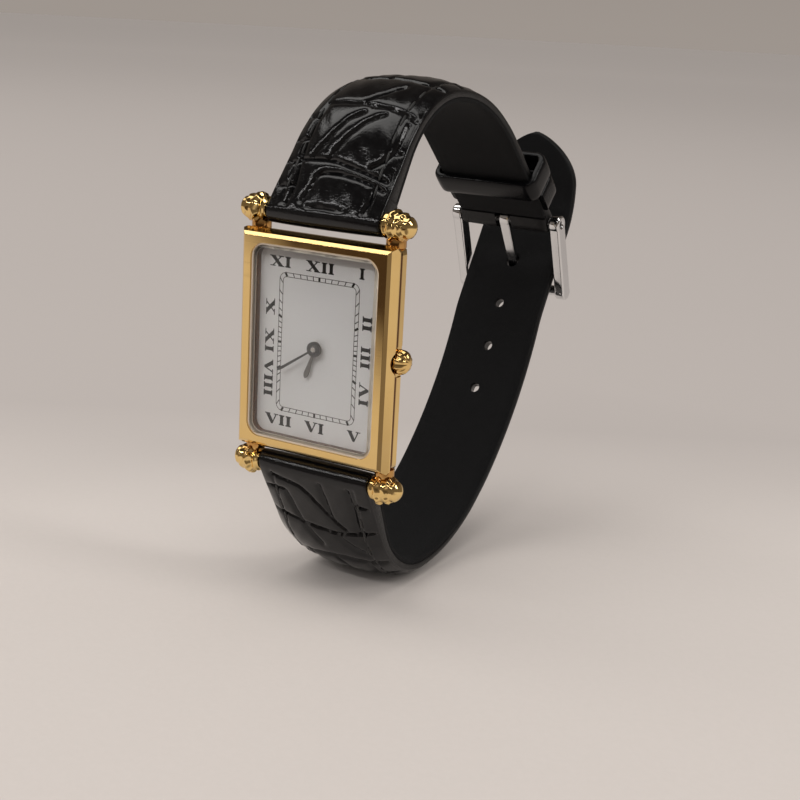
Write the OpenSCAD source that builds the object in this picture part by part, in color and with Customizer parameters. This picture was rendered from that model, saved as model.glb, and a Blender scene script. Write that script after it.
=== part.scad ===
// Rectangular dress wristwatch: gilt case, beehive lugs, padded leather strap and pin buckle.
// X points to 3 o'clock, Y runs backward from the dial to the wrist, Z points to 12 o'clock.
// Depths below are measured from the flat front of the bezel, and place() then moves the
// origin to the centre of the case back, where the watch rests on the wrist.

/* [Bezel] */
// Width across the ridge of the bezel
case_w = 23.2; // [22.6:0.1:25]
// Height across the ridge of the bezel
case_h = 28.24; // [27.6:0.1:30]
// How far the first, narrow facet runs in from the flat front
facet1_run = 0.39; // [0.2:0.01:0.5]
// Depth at which the first facet ends
facet1_depth = 0.35; // [0.2:0.01:0.6]
// How far the second facet runs at the left and right sides
facet2_run_x = 0.655; // [0.4:0.005:0.9]
// How far the second facet runs at the top and bottom sides
facet2_run_z = 0.495; // [0.3:0.005:0.8]
// Depth of the ridge, where the facets end
ridge_depth = 1.23; // [0.8:0.01:1.4]
// Depth of the bezel's rear edge
bezel_depth = 1.45; // [1.42:0.01:1.55]
// Corner radius of the bezel's outline
bezel_corner_r = 0.7; // [0.3:0.05:1.5]
// How far the frame runs in from the ridge to the crystal at the left and right sides
frame_x = 2.125; // [1.9:0.025:2.3]
// How far the frame runs in from the ridge to the crystal at the top and bottom sides
frame_z = 1.68; // [1.5:0.02:1.9]
// Corner radius of the opening
opening_r = 1.9; // [1.5:0.1:2.4]

/* [Case middle] */
// Total depth of the case, front flat to case back
case_depth = 5.4; // [5.4:0.1:7]
// Height of the thin dark groove between the bezel and the band
groove_t = 0.15; // [0.08:0.01:0.2]
// How far the rim that carries the bezel reaches past the opening at the left and right sides
rim_past_x = 0.825; // [0.5:0.025:0.9]
// How far the rim that carries the bezel reaches past the opening at the top and bottom sides
rim_past_z = 0.46; // [0.3:0.02:0.6]
// Depth of the rim's front, where the crystal gasket sits
rim_depth = 0.95; // [0.9:0.01:1.1]
// How far the case band stands in from the bezel's ridge
band_inset = 0.25; // [0.1:0.05:0.4]
// Length of the straight part of the band
band_t = 1.6; // [1.2:0.05:1.8]
// Corner radius of the band
band_r = 1.0; // [0.5:0.1:2]
// How far the chamfer behind the band runs in at the left and right sides
rear_in_x = 1.2; // [0.6:0.05:1.2]
// How far the chamfer behind the band runs in at the top and bottom sides
rear_in_z = 0.77; // [0.4:0.01:0.9]
// How far the hollow for the dial and the movement stands in from the opening
cavity_inset = 0.225; // [0.15:0.005:0.3]
// Corner radius of the hollow
cavity_r = 1.0; // [0.5:0.1:1.5]
// How far the wall above the dial stands in from the hollow
rehaut_ledge = 0.3; // [0.1:0.05:0.4]
// Thickness of the case back
back_t = 0.8; // [0.5:0.05:1]
// Height of the snap rim inside the case back
snap_h = 0.4; // [0.3:0.05:0.5]
// Wall of the snap rim inside the case back
snap_wall = 0.4; // [0.3:0.05:0.6]

/* [Crystal and dial] */
// How far the crystal stands in front of the bezel
crystal_rise = 0.05; // [0:0.01:0.3]
// Thickness of the crystal
crystal_t = 0.85; // [0.7:0.05:0.9]
// Width of the polished bevel round the crystal
crystal_bevel = 0.3; // [0.1:0.05:0.4]
// Wall of the gasket round the crystal
gasket_wall = 0.225; // [0.15:0.005:0.4]
// Depth of the dial's face
dial_depth = 1.85; // [1.8:0.01:1.9]
// Thickness of the dial
dial_t = 0.3; // [0.2:0.01:0.3]
// Radius of the hole in the middle of the dial
dial_hole_r = 0.7; // [0.68:0.01:0.9]
// Radius of the two dial feet
foot_r = 0.3; // [0.2:0.05:0.4]

/* [Hands] */
// Reach of the minute hand from the centre
minute_reach = 6.43; // [5:0.1:8]
// Reach of the hour hand from the centre
hour_reach = 4.16; // [3:0.1:6]
// Widest part of the minute hand
minute_w = 0.36; // [0.2:0.02:0.6]
// Widest part of the hour hand
hour_w = 0.72; // [0.3:0.02:0.8]
// Radius of the hubs of both hands
hub_r = 0.95; // [0.8:0.05:1.2]
// Thickness of both hands
hand_t = 0.12; // [0.06:0.01:0.14]
// Direction of the minute hand, clockwise from 12
minute_angle = 237; // [0:1:359]
// Direction of the hour hand, clockwise from 12
hour_angle = 199.75; // [0:0.25:359.75]

/* [Lugs] */
// Height of the spring bars above and below the middle of the case
bar_z = 16.35; // [16.2:0.05:18]
// Depth of the spring bars behind the bezel's flat front
bar_depth = 2.5; // [2.3:0.05:3]
// How far the middle of each lug's neck stands in from the side of the case
lug_inset = 1.6; // [1.4:0.05:1.9]
// Room between the strap and each finial
lug_gap = 0.15; // [0.1:0.05:0.4]
// Length of a finial without its domed cap
finial_len = 3.4; // [3:0.05:4]
// Radius of the finial's plain core
finial_core_r = 1.2; // [1:0.05:1.4]
// Radius of the largest ring of a finial
finial_ring_r = 2.1; // [1.8:0.05:2.3]
// Radius of the neck between the finial and the case
neck_r = 1.25; // [0.9:0.05:1.4]
// Radius of the peg that fixes the neck in the case
peg_r = 0.78; // [0.6:0.02:0.9]
// Length of the peg inside the case band
peg_len = 0.95; // [0.6:0.05:1.1]

/* [Spring bars] */
// Radius of the tube of a spring bar
bar_r = 0.75; // [0.65:0.01:0.85]
// Radius of the sprung tips of a spring bar
tip_r = 0.4; // [0.3:0.01:0.45]
// How far a tip reaches into its hole
tip_reach = 0.8; // [0.6:0.05:0.85]
// Travel of a tip when it is pushed in
tip_travel = 0.9; // [0.85:0.05:1]

/* [Crown] */
// Radius of the crown
crown_r = 1.6; // [1.3:0.05:1.8]
// Length of the crown outside the case
crown_len = 1.8; // [1.4:0.05:2.4]
// Number of flutes round the crown
crown_flutes = 10; // [6:1:16]
// Room round the crown in its notch
crown_room = 0.35; // [0.2:0.05:0.6]
// Depth of the crown's axis behind the front flat
crown_depth = 2.75; // [2.7:0.01:2.8]
// Travel of the crown when it is pulled to set the hands
crown_travel = 0.9; // [0.6:0.05:0.9]
// Radius of the stem
stem_r = 0.3; // [0.26:0.01:0.31]

/* [Strap] */
// How much narrower the short strap is at the buckle than at the lugs
upper_taper = 2.6; // [2.6:0.1:3.8]
// How much narrower the long strap is at its tip than at the lugs
lower_taper = 2.8; // [2.6:0.1:3.8]
// Thickness of the padded strap at the lugs
strap_t = 3.3; // [2.8:0.1:3.3]
// Thickness of the short strap at the keepers
upper_thin_t = 2.1; // [1.8:0.1:2.3]
// Thickness of the long strap along its tail
lower_thin_t = 1.8; // [1.5:0.1:1.9]
// Thickness of the lining next to the wrist
lining_t = 0.6; // [0.4:0.05:0.8]
// Radius of the buckle holes
hole_r = 0.75; // [0.6:0.05:0.9]
// Distance between buckle holes
hole_pitch = 6.8; // [5:0.1:8]
// Number of free holes towards the case, next to the used one
holes_inner = 3; // [1:1:3]
// Number of free holes towards the tip, next to the used one
holes_outer = 2; // [1:1:2]

/* [Keepers and buckle] */
// Length of each keeper along the strap
keeper_len = 3.6; // [3:0.1:4]
// Thickness of the keeper leather
keeper_t = 0.9; // [0.7:0.05:1.1]
// Room for the strap end above the short strap in a keeper
keeper_room = 2.2; // [1.9:0.1:3]
// How far the floating keeper slides towards the case
keeper_slide = 5; // [3:0.1:5]
// Thickness of the buckle's side arms
arm_t = 1.6; // [1:0.1:2]
// Width of the buckle's side arms, seen from the side
arm_w = 2.2; // [1.8:0.1:2.4]
// Radius of the buckle's front bar
front_bar_r = 0.75; // [0.6:0.05:0.9]
// Width of the buckle tongue
tongue_w = 1.5; // [1.2:0.05:1.6]
// Thickness of the buckle tongue
tongue_t = 0.7; // [0.5:0.05:0.8]

/* [Hidden] */
// Clearances that several pieces share
seat_gap = 0.02;
run_gap = 0.05;
pivot_r = 0.1;
pivot_hole_r = 0.12;
through = 1;
far = 90;
round_fn = 64;

// Bezel and case
ridge_x = case_w / 2;
ridge_z = case_h / 2;
flat_x = ridge_x - facet1_run - facet2_run_x;
flat_z = ridge_z - facet1_run - facet2_run_z;
edge_x = flat_x + facet1_run;
edge_z = flat_z + facet1_run;
opening_w = case_w - 2 * frame_x;
opening_h = case_h - 2 * frame_z;
rim_w = opening_w + 2 * rim_past_x;
rim_h = opening_h + 2 * rim_past_z;
band_w = case_w - 2 * band_inset;
band_h = case_h - 2 * band_inset;
rear_w = band_w - 2 * rear_in_x;
rear_h = band_h - 2 * rear_in_z;
cavity_w = opening_w - 2 * cavity_inset;
cavity_h = opening_h - 2 * cavity_inset;
band_front = bezel_depth + groove_t;
band_rear = band_front + band_t;
rear_depth = case_depth - back_t;
cavity_x = cavity_w / 2;
cavity_z = cavity_h / 2;
rehaut_r = cavity_r + 0.4;
gasket_groove = 0.4;
snap_gap = 0.05;
back_inset = 0.1;
back_bevel = 0.3;
pry_w = 3;
pry_deep = 0.35;

// Crystal, its gasket and the dial
crystal_x = opening_w / 2 - gasket_wall;
crystal_z = opening_h / 2 - gasket_wall;
crystal_r = opening_r - gasket_wall;
crystal_front = -crystal_rise;
crystal_rear = crystal_front + crystal_t;
gasket_front = 0.2;
dial_x = cavity_x - run_gap;
dial_z = cavity_z - run_gap;
dial_rear = dial_depth + dial_t;
foot_x = 5;
foot_len = 0.5;

// Hands, counted forward from the dial
hour_hand_front = dial_depth - 0.45;
minute_hand_front = dial_depth - 0.85;
pin_front = dial_depth - 0.93;
leaf_root = 0.11;

// Movement plate; its front lies on the dial
plate_front = dial_rear;
plate_t = 1.2;
plate_rear = plate_front + plate_t;
plate_x = 7.6;
plate_z = 8.85;
foot_z = (plate_z + dial_z) / 2;
ring_rear = 4.15;
bridge_front = plate_rear + 0.85;
bridge_t = 0.2;
bridge_rear = bridge_front + bridge_t;
post_r = 0.45;
bridge_posts = [[2.95, 6.3], [-2.9, 0.9], [3.2, -1.6]];
bridge_outline = [[-3.4, 0.3], [-3.4, 1.5], [-1.5, 5.3], [2.4, 6.9], [3.5, 6.9],
    [3.6, 5.4], [2.9, 3], [3.8, -1.2], [3.6, -2.2], [2.6, -2.2]];
screw_head_r = 0.45;
screw_head_t = 0.14;
screw_shank_r = 0.2;
screw_len = 0.7;

// Wheel train behind the plate: teeth, module and place
train_m = 0.1;
small_m = 0.08;
centre_teeth = 48;
leaf_teeth = 8;
third_teeth = 48;
inter_teeth = 40;
third_dir = 45;
third_dist = train_m * (centre_teeth + leaf_teeth) / 2;
third_at = [third_dist * cos(third_dir), third_dist * sin(third_dir)];
inter_dir = 110;
inter_dist = small_m * (third_teeth + leaf_teeth) / 2;
inter_at = third_at + [inter_dist * cos(inter_dir), inter_dist * sin(inter_dir)];
rotor_dir = 165;
rotor_dist = small_m * (inter_teeth + leaf_teeth) / 2;
rotor_at = inter_at + [rotor_dist * cos(rotor_dir), rotor_dist * sin(rotor_dir)];
third_phase = mesh_phase(third_dir, 0, centre_teeth, leaf_teeth);
inter_phase = mesh_phase(inter_dir, 0, third_teeth, leaf_teeth);
rotor_phase = mesh_phase(rotor_dir, 0, inter_teeth, leaf_teeth);
low_wheel = plate_rear + 0.1;
wheel_t = 0.15;
high_wheel = plate_rear + 0.45;
magnet_r = 0.85;
magnet_front = plate_rear + 0.35;
magnet_t = 0.4;

// Motion works between the dial and the plate
motion_m = 0.1;
hour_m = 0.096;
cannon_teeth = 12;
minute_wheel_teeth = 36;
minute_leaf_teeth = 10;
hour_wheel_teeth = 40;
motion_dir = -75;
motion_dist = motion_m * (cannon_teeth + minute_wheel_teeth) / 2;
motion_at = [motion_dist * cos(motion_dir), motion_dist * sin(motion_dir)];
minute_wheel_phase = mesh_phase(motion_dir, 0, cannon_teeth, minute_wheel_teeth);
hour_wheel_phase = mesh_phase(motion_dir + 180, 0, minute_leaf_teeth, hour_wheel_teeth);
hour_wheel_front = plate_front + 0.07;
cannon_front = plate_front + 0.32;
minute_wheel_front = plate_front + 0.35;
motion_rear = plate_front + 0.53;
arbor_r = 0.25;
cannon_r = 0.38;
hour_pipe_inner = 0.45;
hour_pipe_r = 0.65;
setting_teeth = 16;
setting_dir = 20;
setting_dist = motion_m * (minute_wheel_teeth + setting_teeth) / 2;
setting_at = motion_at + [setting_dist * cos(setting_dir), setting_dist * sin(setting_dir)];
setting_phase = mesh_phase(setting_dir, minute_wheel_phase, minute_wheel_teeth, setting_teeth);

// Keyless works round the stem
stem_front_x = 2.6;
slot_x0 = 3;
slot_x1 = 6.95;
slot_half = 0.62;
slider_x0 = 4;
slider_x1 = 4.9;
slider_r = 0.55;
slider_groove_x = 4.45;
slider_groove_r = 0.42;
slider_groove_w = 0.2;
stem_groove_x = 6.05;
stem_groove_r = 0.2;
stem_groove_w = 0.3;
lever_x0 = 5.7;
lever_x1 = 6.5;
lever_z0 = 0.5;
lever_z1 = 2;
lever_front = 2.5;
lever_rear = 3.1;
yoke_travel = 0.45;
yoke_x1 = 6.9;
yoke_half = 0.9;
yoke_t = 0.15;

// Battery, coil and circuit
battery_r = 3.4;
battery_at = [-3.6, -5];
battery_t = 1.6;
contact_t = 0.08;
contact_len = 4;
contact_w = 0.8;
battery_rear = bridge_rear - 0.1;
battery_front = battery_rear - battery_t;
clamp_t = 0.1;
clamp_post = [1.2, -5];
core_x0 = -7.2;
core_x1 = 2.2;
core_z = 7.3;
core_half = 0.5;
core_front = plate_rear + 0.25;
core_t = 0.2;
coil_x0 = -6;
coil_x1 = 1;
coil_r = 0.75;
stator_front = core_front + core_t;
stator_t = 0.2;
stator_hole_r = 1.05;
board_x0 = 3.6;
board_x1 = 7.4;
board_z0 = 2.3;
board_z1 = 8.4;
board_t = 0.2;
board_front = plate_front + 0.6;
chip_size = 1.5;
chip_t = 0.35;
chip_at = [4.35, 4.2];
can_r = 0.62;
can_x = 6.2;
can_z0 = 2.6;
can_len = 4.8;

// Lugs and spring bars
ring1_x = 0.4;
ring1_r = 0.4;
ring2_x = 1.45;
neck_x = case_w / 2 - lug_inset;
finial_x = neck_x - ring2_x;
strap_w = 2 * (finial_x - lug_gap);
upper_end_w = strap_w - upper_taper;
lower_end_w = strap_w - lower_taper;
ring2_r = 0.75;
ring3_x = 2.65;
ring3_r = 0.62;
ring3_out = 0.33;
cap_r = 0.95;
cap_out = 0.35;
neck_depth = 2.8;
tip_hole_r = tip_r + 0.02;
bar_tube_x = strap_w / 2 - 0.6;
tip_inside = 1.8;
spring_len = 1.9;
bar_bore_r = tip_r + run_gap;

// Crown and stem
notch_r = crown_r + crown_room;
notch_x = band_w / 2 - 0.2;
crown_x = notch_x + 0.1;
boss_r = 0.9;
boss_x = cavity_x + 0.03;
seal_x = notch_x - 0.95;
seal_w = 0.3;
seal_r = 1.14;
flute_r = 0.36;

// Strap routes along the wrist side: [radius, turn], or [0, length] where straight
upper_route = [[0, 3.2], [0, 5.8], [14, -60], [24, -43], [0, 14.8], [5, -20], [0, 1]];
upper_heading = 60;
lower_route = [[0, 3.2], [0, 5.3], [11.2, 67], [25.2, 45], [58, 24], [14, -9], [0, 13.3],
    [11, 32], [0, 8]];
lower_heading = -67;
arc_step = 4;
upper_side = 1;
lower_side = -1;
half_t = strap_t / 2;
upper_start = [bar_depth + half_t * sin(upper_heading), bar_z - half_t * cos(upper_heading),
    upper_heading, 0];
lower_start = [bar_depth - half_t * sin(lower_heading), -bar_z + half_t * cos(lower_heading),
    lower_heading, 0];
upper_line = route_points(upper_start, upper_route);
lower_line = route_points(lower_start, lower_route);
upper_last = upper_line[len(upper_line) - 1];
lower_last = lower_line[len(lower_line) - 1];
upper_run = route_points(upper_start, part_of(upper_route, 4));
upper_run_start = upper_run[len(upper_run) - 1];
lower_run = route_points(lower_start, part_of(lower_route, 6));
lower_run_start = lower_run[len(lower_run) - 1];
upper_thickness = [[0, strap_t], [14, strap_t], [38, upper_thin_t], [56, upper_thin_t],
    [58.4, 2.9], [70, 2.9]];
lower_thickness = [[0, strap_t], [10, strap_t], [45, lower_thin_t], [120, lower_thin_t]];
taper_y0 = 3;
taper_y1 = 34;
bar_clearance = 0.05;

// Buckle: the rear bar lies in the short strap's end, the front bar in front of the long strap
rear_wrap = 1.45;
bar_b = [upper_last[0] - rear_wrap * sin(upper_last[2]), upper_last[1] + rear_wrap * cos(upper_last[2])];
front_along = 4.4;
front_gap = 0.35;
front_out = lower_thin_t + front_gap + front_bar_r;
run_h = lower_run_start[2];
run_dir = [cos(run_h), sin(run_h)];
run_out = [sin(run_h), -cos(run_h)];
run_at = [lower_run_start[0], lower_run_start[1]];
bar_f = run_at + front_along * run_dir + front_out * run_out;
tongue_clear = front_bar_r + tongue_t / 2 + run_gap;
bars_apart = norm(bar_f - bar_b);
bars_heading = atan2(bar_f[1] - bar_b[1], bar_f[0] - bar_b[0]);
tongue_side = 0.95;
tongue_rise = tongue_clear + tongue_side;
tongue_heading = bars_heading + asin(tongue_rise / bars_apart);
tongue_len = sqrt(bars_apart * bars_apart - tongue_rise * tongue_rise);
tongue_past = 1;
loop_r = 1.35;
loop_bore = bar_r + 0.07;
slot_half_w = 1.3;
slot_len = 3.6;
arm_x0 = max(upper_end_w, lower_end_w) / 2 + 0.3;
arm_x1 = arm_x0 + arm_t;
boss_b_r = 1.3;
arm_end = 0.08;
arm_side = arm_w / 2 * [-sin(bars_heading), cos(bars_heading)];
buckle_tube_x = upper_end_w / 2 - 0.1;
buckle_tip_x = arm_x0 + tip_reach;
tongue_root = bar_b - tongue_side * [-sin(tongue_heading), cos(tongue_heading)] - run_at;
tongue_dir = [cos(tongue_heading), sin(tongue_heading)];
used_along = tongue_root * run_dir
    + (lower_thin_t / 2 - tongue_root * run_out) / (tongue_dir * run_out) * (tongue_dir * run_dir);
tunnel_r = 1.05;

// Tip of the long strap: [height above the run's end, half width]
tail_z = lower_last[1];
tail_shape = [[-7.6, 7], [-6.95, 6.8], [-4.85, 6.1], [-2.55, 4.6], [-0.9, 2.9], [-0.25, 1.7], [0.3, 0.6]];

// Keepers on the short strap
keeper_a = 7;
keeper_gap = 0.4;
keeper_b = keeper_a + keeper_len + keeper_gap;
keeper_under = 0.5;
keeper_side = 0.25;
keeper_corner = 0.7;

// Shared helpers
// Angle of gear B's teeth so that they fall between the teeth of gear A, in direction d
function mesh_phase(d, a, za, zb) = d + 180 - (0.5 - (d - a) * za / 360) * 360 / zb;
// Outline of a gear with straight-sided teeth
function gear_points(z, m) = [for (i = [0:z - 1]) for (k = [[-0.27, -1.25], [-0.13, 0.8], [0.13, 0.8], [0.27, -1.25]])
    let (a = (i + k[0]) * 360 / z, r = m * z / 2 + k[1] * m) [r * cos(a), r * sin(a)]];
// First n pieces of a route
function part_of(route, n) = [for (i = [0:n - 1]) route[i]];
// Points along one straight piece or arc, each [y, z, heading, distance]
function piece_points(p, q) = q[0] == 0
    ? [[p[0] + q[1] * cos(p[2]), p[1] + q[1] * sin(p[2]), p[2], p[3] + q[1]]]
    : let (n = ceil(abs(q[1]) / arc_step), g = sign(q[1]) * q[0],
           cy = p[0] - g * sin(p[2]), cz = p[1] + g * cos(p[2]))
      [for (i = [1:n]) let (h = p[2] + q[1] * i / n)
          [cy + g * sin(h), cz - g * cos(h), h, p[3] + q[0] * abs(q[1]) * PI / 180 * i / n]];
function route_points(start, route) = walk([start], route, 0);
function walk(done, route, i) = i >= len(route) ? done
    : walk(concat(done, piece_points(done[len(done) - 1], route[i])), route, i + 1);
// A point t away from the wrist side, outward from the wrist
function off(p, t, side) = [p[0] - side * t * sin(p[2]), p[1] + side * t * cos(p[2])];
function reversed(list) = [for (i = [len(list) - 1:-1:0]) list[i]];
// Points of a line between two of its own indices, moved out by t
function stretch(line, i0, i1, t, side) = [for (i = [i0:i1]) off(line[i], t, side)];
function outer_side(line, table, side) = [for (p = line) off(p, lookup(p[3], table), side)];

module place() translate([0, -case_depth, 0]) children();
// A flat outline in X and Z, solid between two depths
module slab(d0, d1) translate([0, d1, 0]) rotate([90, 0, 0]) linear_extrude(d1 - d0) children();
module post(at, r, d0, d1) translate([at[0], d1, at[1]]) rotate([90, 0, 0]) cylinder(r = r, h = d1 - d0, $fn = round_fn);
module rod(x0, x1, r, d, z) translate([x0, d, z]) rotate([0, 90, 0]) cylinder(r = r, h = x1 - x0, $fn = round_fn);
module box(x0, x1, d0, d1, z0, z1) translate([x0, d0, z0]) cube([x1 - x0, d1 - d0, z1 - z0]);
module round_rect(hx, hz, r) {
    square([2 * (hx - r), 2 * hz], center = true);
    square([2 * hx, 2 * (hz - r)], center = true);
    for (sx = [-1, 1], sz = [-1, 1]) translate([sx * (hx - r), sz * (hz - r)]) circle(r = r, $fn = round_fn);
}
// Outline in X and depth, long in Z; and outline in Z and depth, long in X
module side_profile(points) translate([0, 0, -case_h]) linear_extrude(2 * case_h) polygon(points);
module top_profile(points) rotate([90, 0, 90]) translate([0, 0, -case_w]) linear_extrude(2 * case_w) polygon(points);
// Outline in depth and height, solid across the strap
module across(half_w, points) rotate([90, 0, 90]) translate([0, 0, -half_w]) linear_extrude(2 * half_w) polygon(points);
module bar_axis(at, x0, x1, r) rod(x0, x1, r, at[0], at[1]);
module both_sides() {
    children();
    mirror([1, 0, 0]) children();
}
module gear(at, z, m, phase, d0, d1) {
    slab(d0, d1) translate(at) rotate(phase) polygon(gear_points(z, m));
}
module spoked_wheel(at, z, m, phase, d0, d1) {
    rim = m * z / 2 - 3 * m;
    hub = 0.45;
    slab(d0, d1) translate(at) rotate(phase) difference() {
        polygon(gear_points(z, m));
        for (i = [0:3]) rotate(45 + 90 * i) translate([(rim + hub) / 2, 0]) circle(r = (rim - hub) / 2 * 0.9, $fn = round_fn);
    }
}

// Bezel: flat frame, two facets that meet in sharp mitres, and a straight rear edge
module bezel() color("goldenrod") place() difference() {
    intersection() {
        side_profile([[-flat_x, 0], [flat_x, 0], [edge_x, facet1_depth], [ridge_x, ridge_depth], [ridge_x, bezel_depth],
            [-ridge_x, bezel_depth], [-ridge_x, ridge_depth], [-edge_x, facet1_depth]]);
        top_profile([[0, -flat_z], [0, flat_z], [facet1_depth, edge_z], [ridge_depth, ridge_z], [bezel_depth, ridge_z],
            [bezel_depth, -ridge_z], [ridge_depth, -ridge_z], [facet1_depth, -edge_z]]);
        slab(-through, case_depth) round_rect(ridge_x, ridge_z, bezel_corner_r);
    }
    slab(-through, case_depth) round_rect(opening_w / 2, opening_h / 2, opening_r);
    slab(rim_depth, case_depth) round_rect(rim_w / 2 + seat_gap, rim_h / 2 + seat_gap, band_r);
    crown_notch();
}

module crown_notch() rod(notch_x, case_w, notch_r, crown_depth, 0);

// Case middle: rim under the bezel, band, chamfer, wall above the dial and stepped hollow
module case_middle() color("goldenrod") place() difference() {
    union() {
        slab(rim_depth, band_front) round_rect(rim_w / 2, rim_h / 2, band_r);
        intersection() {
            side_profile([[-band_w / 2, band_front], [band_w / 2, band_front], [band_w / 2, band_rear],
                [rear_w / 2, rear_depth], [-rear_w / 2, rear_depth], [-band_w / 2, band_rear]]);
            top_profile([[band_front, -band_h / 2], [band_front, band_h / 2], [band_rear, band_h / 2],
                [rear_depth, rear_h / 2], [rear_depth, -rear_h / 2], [band_rear, -band_h / 2]]);
            slab(0, case_depth) round_rect(band_w / 2, band_h / 2, band_r);
        }
    }
    slab(0, case_depth) round_rect(cavity_x - rehaut_ledge, cavity_z - rehaut_ledge, rehaut_r);
    slab(dial_depth, case_depth) round_rect(cavity_x, cavity_z, cavity_r);
    slab(rear_depth - snap_h + run_gap, case_depth) round_rect(cavity_x + gasket_groove, cavity_z + gasket_groove, cavity_r);
    rod(cavity_x - through, case_w, boss_r + run_gap, crown_depth, 0);
    rod(seal_x, seal_x + seal_w, seal_r + 0.01, crown_depth, 0);
    crown_notch();
    for (sx = [-1, 1], sz = [-1, 1]) translate([sx * neck_x, neck_depth, sz * (band_h / 2 - peg_len - run_gap)])
        rotate([sz > 0 ? 0 : 180, 0, 0]) cylinder(r = peg_r + seat_gap, h = 2 * peg_len, $fn = round_fn);
}

// Crystal with a polished bevel all round its front
module crystal() color([0.85, 0.93, 0.95, 0.35]) place() intersection() {
    side_profile([[-crystal_x + crystal_bevel, crystal_front], [crystal_x - crystal_bevel, crystal_front],
        [crystal_x, crystal_front + crystal_bevel], [crystal_x, crystal_rear],
        [-crystal_x, crystal_rear], [-crystal_x, crystal_front + crystal_bevel]]);
    top_profile([[crystal_front, -crystal_z + crystal_bevel], [crystal_front, crystal_z - crystal_bevel],
        [crystal_front + crystal_bevel, crystal_z], [crystal_rear, crystal_z],
        [crystal_rear, -crystal_z], [crystal_front + crystal_bevel, -crystal_z]]);
    slab(-through, case_depth) round_rect(crystal_x, crystal_z, crystal_r);
}

// Gasket in an L section: a wall round the crystal and a lip that carries it
module crystal_gasket() color("dimgray") place() difference() {
    slab(gasket_front, rim_depth) round_rect(opening_w / 2, opening_h / 2, opening_r);
    slab(0, crystal_rear) round_rect(crystal_x, crystal_z, crystal_r);
    slab(0, case_depth) round_rect(cavity_x - rehaut_ledge, cavity_z - rehaut_ledge, rehaut_r);
}

module dial() color("white") place() difference() {
    union() {
        slab(dial_depth, dial_rear) round_rect(dial_x, dial_z, cavity_r);
        for (s = [-1, 1]) post([s * foot_x, s * foot_z], foot_r, dial_rear, dial_rear + foot_len);
    }
    post([0, 0], dial_hole_r, 0, case_depth);
}

module movement_ring() color("lightgray") place() difference() {
    slab(dial_rear, ring_rear) round_rect(dial_x - run_gap, dial_z - run_gap, cavity_r);
    slab(0, case_depth) square([2 * (plate_x + run_gap), 2 * (plate_z + run_gap)], center = true);
    rod(plate_x, dial_x, stem_r + 0.2, crown_depth, 0);
    for (s = [-1, 1]) post([s * foot_x, s * foot_z], foot_r + seat_gap, dial_depth, dial_rear + foot_len + run_gap);
}

// Case back with bevelled edge, snap rim and a notch for the case knife
module case_back() color("silver") place() {
    difference() {
        intersection() {
            side_profile(back_outline(rear_w / 2 - back_inset));
            top_profile([for (p = back_outline(rear_h / 2 - back_inset)) [p[1], p[0]]]);
            slab(0, 2 * case_depth) round_rect(rear_w / 2 - back_inset, rear_h / 2 - back_inset, band_r);
        }
        box(-pry_w / 2, pry_w / 2, rear_depth - through, rear_depth + 0.2, -case_h, -rear_h / 2 + back_inset + pry_deep);
    }
    difference() {
        slab(rear_depth - snap_h, rear_depth) round_rect(cavity_x - snap_gap, cavity_z - snap_gap, cavity_r);
        slab(0, rear_depth) round_rect(cavity_x - snap_gap - snap_wall, cavity_z - snap_gap - snap_wall, cavity_r);
    }
}
function back_outline(h) = [[-h, rear_depth], [h, rear_depth], [h, case_depth - back_bevel], [h - back_bevel, case_depth],
    [-h + back_bevel, case_depth], [-h, case_depth - back_bevel]];

module case_back_gasket() color("black") place() difference() {
    slab(rear_depth - snap_h + 0.08, rear_depth) round_rect(cavity_x + gasket_groove - run_gap, cavity_z + gasket_groove - run_gap, cavity_r);
    slab(0, case_depth) round_rect(cavity_x, cavity_z, cavity_r);
}

// One finial, turned about X: core, three rings and a domed cap
module finial_shape() rotate([0, 90, 0]) rotate_extrude($fn = round_fn) {
    square([finial_core_r, finial_len]);
    translate([0, ring1_x - ring1_r]) square([finial_core_r, 2 * ring1_r]);
    translate([finial_core_r, ring1_x]) circle(r = ring1_r, $fn = 32);
    translate([finial_ring_r - ring2_r, ring2_x]) circle(r = ring2_r, $fn = 32);
    translate([finial_ring_r - ring3_out - ring3_r, ring3_x]) circle(r = ring3_r, $fn = 32);
    translate([0, finial_len]) square([cap_out, cap_r]);
    intersection() {
        translate([cap_out, finial_len]) circle(r = cap_r, $fn = 32);
        translate([0, finial_len - cap_r]) square([4, 4]);
    }
}

// Four lugs: finial, neck down to the case band and peg in the band
module lug_finials() color("goldenrod") place() for (sx = [0, 1], sz = [0, 1]) mirror([sx, 0, 0]) mirror([0, 0, sz]) difference() {
    union() {
        translate([finial_x, bar_depth, bar_z]) finial_shape();
        translate([neck_x, neck_depth, band_h / 2]) cylinder(r = neck_r, h = bar_z - finial_core_r / 2 - band_h / 2, $fn = round_fn);
        translate([neck_x, neck_depth, band_h / 2 - peg_len]) cylinder(r = peg_r, h = peg_len + 0.5, $fn = round_fn);
    }
    rod(finial_x - through, finial_x + tip_reach + run_gap, tip_hole_r, bar_depth, bar_z);
}

// Stem seal in its groove in the case wall
module crown_gasket() color("black") place() difference() {
    rod(seal_x, seal_x + seal_w, seal_r, crown_depth, 0);
    rod(seal_x - through, seal_x + through, boss_r + seat_gap, crown_depth, 0);
}

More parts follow.
